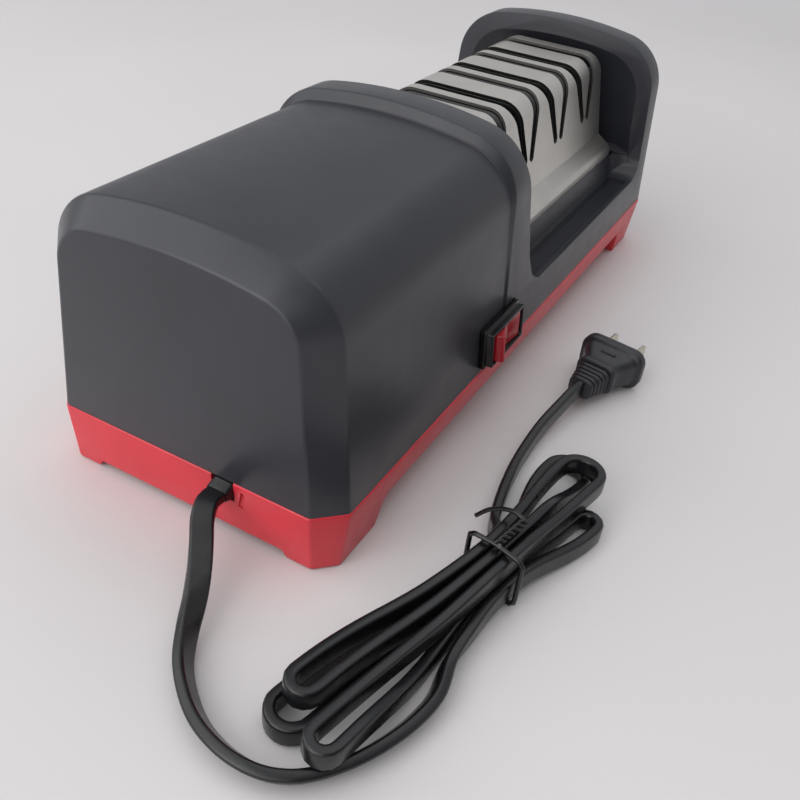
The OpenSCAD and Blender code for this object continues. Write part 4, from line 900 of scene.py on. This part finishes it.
# %% Posts and holes
for x, y in FEET:
    combine(base, post("foot_pillar", x, y, 7.5, 0.9, FLOOR_Z + 0.1), "UNION")
    combine(base, post("foot_recess", x, y, 6.2, -1, 4.5))
for x, y in LEG_SCREWS + MID_SCREWS:
    combine(base, post("boss", x, y, 4.25, FLOOR_TOP - 0.1, BASE_H), "UNION")
for x, y in MID_SCREWS:
    combine(base, post("screw_pad", x, y, 4.6, FLOOR_Z - 1, FLOOR_Z + 0.1), "UNION")
for x, y in CLAMP_POSTS:
    combine(base, post("clamp_post", x, y, 3.5, FLOOR_TOP - 0.1, 20.65), "UNION")
for x, y in MOTOR_PADS:
    combine(base, block("motor_pad", (x, y, FLOOR_TOP - 0.1), (x + 11, y + 10, 18.5)), "UNION")
for x, y in LEG_SCREWS:
    combine(base, post("counterbore", x, y, BORE_R, -1, FLOOR_Z - 1))
for x, y in BLOCK_SCREWS:
    combine(base, post("counterbore", x, y, BORE_R, -1, FLOOR_Z))
for x, y in LEG_SCREWS + MID_SCREWS + BLOCK_SCREWS:
    combine(base, post("screw_hole", x, y, SCREW_R, -1, 24))
for i in range(7):
    combine(base, block("vent", (46 + 5 * i, -18, 11), (48.4 + 5 * i, 18, 16)))
combine(base, block("notch", (-1, NOTCH_Y - 4.1, 15), (4.1, NOTCH_Y + 4.1, 24)))
wedge = [(-22.4, 13.5), (-20.85, 13.85), (-22.3, 20.7), (-23.85, 20.35)]
combine(base, slab("wedge", -1, 1.1, wedge))

# %% Base edges
edit(base, lambda: bpy.ops.mesh.remove_doubles(threshold=2e-5),
     lambda: bpy.ops.mesh.dissolve_limited(angle_limit=radians(0.2)))
bevel(base, 0.4, 3, 40)
weigh_normals(base)
apply_all(base)
smooth(base, 40)
finish_piece(base, "body", finishes["red_plastic"], "red_plastic", "base_tray")

# %% [markdown]
# ## The strain relief
# A soft black piece is moulded round the cord where it passes the notch in the base. It
# has a short nose outside, a lip behind the wall that keeps it in, and a long taper inside
# that ends in the cord. Like the plug, it is a loft through round-cornered rectangles.

# %% Strain relief
relief_sections = [  # place along the body, width, height and corner radius
    (-3, 7.5, 4.0, 1.5), (-2.6, 7.7, 4.5, 1.7), (-1.4, 7.8, 5.4, 1.8), (0, 7.8, 6.6, 1.8),
    (0.6, 7.8, 7.2, 1.5), (3.3, 7.8, 7.2, 1.5), (3.45, 10.4, 8.6, 1.5), (5.35, 10.4, 8.6, 1.5),
    (5.5, 7.8, 7.2, 1.5), (9, 7.6, 6.4, 1.5), (17, CORD_W, 4.7, 1.4), (17.2, CORD_W, CORD_T, 1.1),
    (30, CORD_W, CORD_T, 1.1)]
relief = loft("cord_relief", [
    [place(x, NOTCH_Y + y, EXIT_Z + z) for y, z in round_section(w, h, r, 5)]
    for x, w, h, r in relief_sections])
smooth(relief, 40)
finish_piece(relief, "body", finishes["cord_rubber"], "cord_rubber", "strain_relief")

# %% [markdown]
# ## The steel cover
# One sheet of stainless steel, 1 mm thick, is bent over the discs. Its section has a flat
# top, round upper edges, leaning sides and a stepped foot that stands on the deck. The
# section is drawn once with its thickness and lofted along the body. Then eight tapered
# slots with round lower ends are cut through it from side to side. The slots' edges are
# stamped, so they stay crisp, and they get a rougher finish than the sheet's face. Their
# darker colour is painted shade, standing in for the shade inside the slots.

# %% Cover
PLATE_TOP, PLATE_T, PLATE_HALF, PLATE_CORNER = 93.5, 1.0, 38.8, 9.5
LEAN_FOOT, PLATE_LEAN = 33.3, radians(10.9)
STEP_RISE, STEP_FALL, STEP_R, CREASE_R = 9.0, radians(34), 4.0, 1.5
COVER_X0, COVER_X1 = 130.3, 276.5
FIRST_STAGE, STAGE_PITCH, STAGES = 151.0, 34.5, 4
SLOT_LOW, SLOT_LOW_GAP, SLOT_LOW_W, SLOT_TOP_W, SLOT_SHIFT = 68.0, 6.8, 4.6, 8.0, 9.09


def bend_points(cy, cz, radius, start, end, steps):
    return [(cy + radius * cos(start + (end - start) * i / steps),
             cz + radius * sin(start + (end - start) * i / steps)) for i in range(steps + 1)]


def plate_y(z):
    return LEAN_FOOT - (z - DECK_Z) * math.tan(PLATE_LEAN)


def plate_section(inset):
    """Half of the sheet's section, from its foot to the edge of the flat top."""
    sheet = Vector((cos(PLATE_LEAN), sin(PLATE_LEAN)))
    ledge = Vector((sin(STEP_FALL), cos(STEP_FALL)))
    crease = Vector((plate_y(DECK_Z + STEP_RISE), DECK_Z + STEP_RISE))
    bend = crease + (sheet + ledge) * (CREASE_R / (1 + sheet.dot(ledge)))
    y = PLATE_HALF - STEP_R
    z = (crease.dot(ledge) - STEP_R - y * ledge.x) / ledge.y
    top = PLATE_TOP - PLATE_CORNER
    return ([(PLATE_HALF - inset, DECK_Z)]
            + bend_points(y, z, STEP_R - inset, 0, pi / 2 - STEP_FALL, 8)
            + bend_points(bend.x, bend.y, CREASE_R + inset,
                          1.5 * pi - STEP_FALL, pi + PLATE_LEAN, 4)
            + bend_points(plate_y(top) - PLATE_CORNER / cos(PLATE_LEAN), top,
                          PLATE_CORNER - inset, PLATE_LEAN, pi / 2, 14))


def both_sides(half):
    return half + [(-y, z) for y, z in half[::-1]]


sheet_line = both_sides(plate_section(0)) + both_sides(plate_section(PLATE_T))[::-1]
cover = slab("steel_cover", COVER_X0, COVER_X1, sheet_line)
for stage in range(STAGES):
    for side in (-1, 1):
        x = FIRST_STAGE + stage * STAGE_PITCH + side * SLOT_LOW_GAP / 2
        low = SLOT_LOW + SLOT_LOW_W / 2
        end = bend_points(x, low, SLOT_LOW_W / 2, pi, 2 * pi, 12)
        above = PLATE_TOP + 5
        top = [(x + side * SLOT_SHIFT + SLOT_TOP_W / 2, above),
               (x + side * SLOT_SHIFT - SLOT_TOP_W / 2, above)]
        combine(cover, side_slab("slot", end + top, -60, 60))
smooth(cover, 40)
finish_piece(cover, "body", finishes["steel_sheet"], "steel_sheet", "slotted_cover")
# the cut edges get a rougher steel whose darker colour is painted shade for the inside of the slots
cover.data.materials.append(brushed("stamped_edge_painted_shade", srgb(74, 72, 70), 0.6, (1, 1, 1), 0.01))
for face in cover.data.polygons:
    along, up = abs(face.normal.x), abs(face.normal.z)
    face.material_index = int(along > 0.2 or up < 0.1 and face.area < 3e-6)
print("stamped faces:", sum(face.material_index for face in cover.data.polygons))

# %% [markdown]
# ## The switch and the guides
# The switch's bezel, collar and rocker are glossy mouldings with soft edges, and so are the
# guides under the slots. They have their true form in the drawing, but its edges are knife
# sharp. A copy of such a mesh, with its loose triangles merged and the flat ones joined,
# gets a small rounding on every edge, as a mould gives it.


# %% Rounded copies
def rounded_copy(node_name, name, width):
    """A copy of a CAD node with its flat faces joined and its edges rounded."""
    copy = bpy.data.objects.new(name, nodes[node_name].data.copy())
    SCENE.collection.objects.link(copy)
    edit(copy,
         lambda: bpy.ops.mesh.remove_doubles(threshold=2e-6),
         lambda: bpy.ops.mesh.dissolve_limited(angle_limit=radians(0.3)))
    bevel(copy, width, 3, 28, clamp=False)
    weigh_normals(copy)
    apply_all(copy)
    smooth(copy, 40)
    return copy


# %% Switch and guides
for node_name, name, width, body in (
        ("switch_body", "switch_bezel", 0.35, "body"),
        ("switch_rocker", "switch_key", 0.45, "rocker"),
        ("knife_guide_1", "guide_1", 0.5, "body"), ("knife_guide_2", "guide_2", 0.5, "body"),
        ("knife_guide_3", "guide_3", 0.5, "body"), ("knife_guide_4", "guide_4", 0.5, "body")):
    slot_name = slot_of[node_name]
    piece = rounded_copy(node_name, name, width)
    finish_piece(piece, body, finishes[slot_name], slot_name, node_name)

# %% [markdown]
# ## Floor and light
# The object stands on a pale table in soft light from wide windows. A large plain floor
# stands for the table, and far from the object the camera sees it melt into the pale room.
# The world gives even light, and three large soft lamps give the long highlights along the
# edges.

# %% Floor
ROOM_COLOUR, BACKDROP = (*srgb(234, 235, 238), 1), 0.74
MELTS_FROM, MELTED_AT = 0.75, 2.2  # metres from the object
bpy.ops.object.select_all(action="DESELECT")
bpy.ops.mesh.primitive_plane_add(size=16, location=(0.4, 0, -0.0002))
floor = settle(bpy.context.object)
floor.name = "table_top"
table = Finish("table_top", 0.55)
patches = table.noise(300, 2)
table.colour(table.ramp(patches, (0.3, srgb(216, 213, 213)), (0.7, srgb(222, 219, 219))))
distance = table.add("ShaderNodeVectorMath", operation="LENGTH")
table.link(table.coords.outputs["Object"], distance.inputs[0])
seen_from = table.add("ShaderNodeLightPath")
only_seen = table.add("ShaderNodeMath", operation="MULTIPLY")
far = table.spread(distance.outputs["Value"], 0, 1, MELTS_FROM, MELTED_AT)
table.link(far, only_seen.inputs[0])
table.link(seen_from.outputs["Is Camera Ray"], only_seen.inputs[1])
far_off = table.add("ShaderNodeEmission")
far_off.inputs["Color"].default_value = ROOM_COLOUR
far_off.inputs["Strength"].default_value = BACKDROP
melt = table.add("ShaderNodeMixShader")
table.link(only_seen.outputs["Value"], melt.inputs[0])
table.link(table.shader.outputs[0], melt.inputs[1])
table.link(far_off.outputs[0], melt.inputs[2])
table.link(melt.outputs[0], table.tree.nodes["Material Output"].inputs["Surface"])
floor.data.materials.append(table.material)


def soft_lamp(name, at, toward, size, power):
    data = bpy.data.lights.new(name, "AREA")
    data.shape = "RECTANGLE"
    data.size, data.size_y = size
    data.energy = power
    lamp = bpy.data.objects.new(name, data)
    SCENE.collection.objects.link(lamp)
    lamp.location = at
    lamp.rotation_euler = (Vector(toward) - Vector(at)).to_track_quat("-Z", "Y").to_euler()


# %% Lamps
soft_lamp("window", (-0.9, 1.0, 1.0), (0, 0, 0.05), (2.2, 1.5), 13)
soft_lamp("ceiling", (0.2, -0.1, 1.6), (0, 0, 0), (2.0, 2.0), 8)
soft_lamp("side_window", (-1.5, 0.15, 0.7), (0, 0, 0.05), (1.7, 1.2), 10)

# %% [markdown]
# The room is bright on the windows' side and darker behind the camera, and that is what a
# glossy black surface shows. So the world's strength falls off towards one direction. What
# the camera sees past the floor stays plain and pale.

# %% Room light
BRIGHT_SIDE, DARK_SIDE = 0.62, 0.16
DARK_WAY = (-0.6, -0.75, 0.05)
world = bpy.data.worlds.new("room")
SCENE.world = world
world.use_nodes = True
tree = world.node_tree
background = tree.nodes["Background"]
background.inputs["Color"].default_value = ROOM_COLOUR
direction = tree.nodes.new("ShaderNodeTexCoord")
facing = tree.nodes.new("ShaderNodeVectorMath")
facing.operation = "DOT_PRODUCT"
facing.inputs[1].default_value = Vector(DARK_WAY).normalized()
fall = tree.nodes.new("ShaderNodeMapRange")
limits = {"From Min": 0.3, "From Max": 0.95, "To Min": BRIGHT_SIDE, "To Max": DARK_SIDE}
for key, value in limits.items():
    fall.inputs[key].default_value = value
rays = tree.nodes.new("ShaderNodeLightPath")
seen = tree.nodes.new("ShaderNodeMix")
seen.inputs["B"].default_value = BACKDROP
tree.links.new(direction.outputs["Generated"], facing.inputs[0])
tree.links.new(facing.outputs["Value"], fall.inputs["Value"])
tree.links.new(fall.outputs["Result"], seen.inputs["A"])
tree.links.new(rays.outputs["Is Camera Ray"], seen.inputs["Factor"])
tree.links.new(seen.outputs["Result"], background.inputs["Strength"])
SCENE.view_settings.view_transform = "Standard"
print("lights:", [lamp.name for lamp in bpy.data.lights])
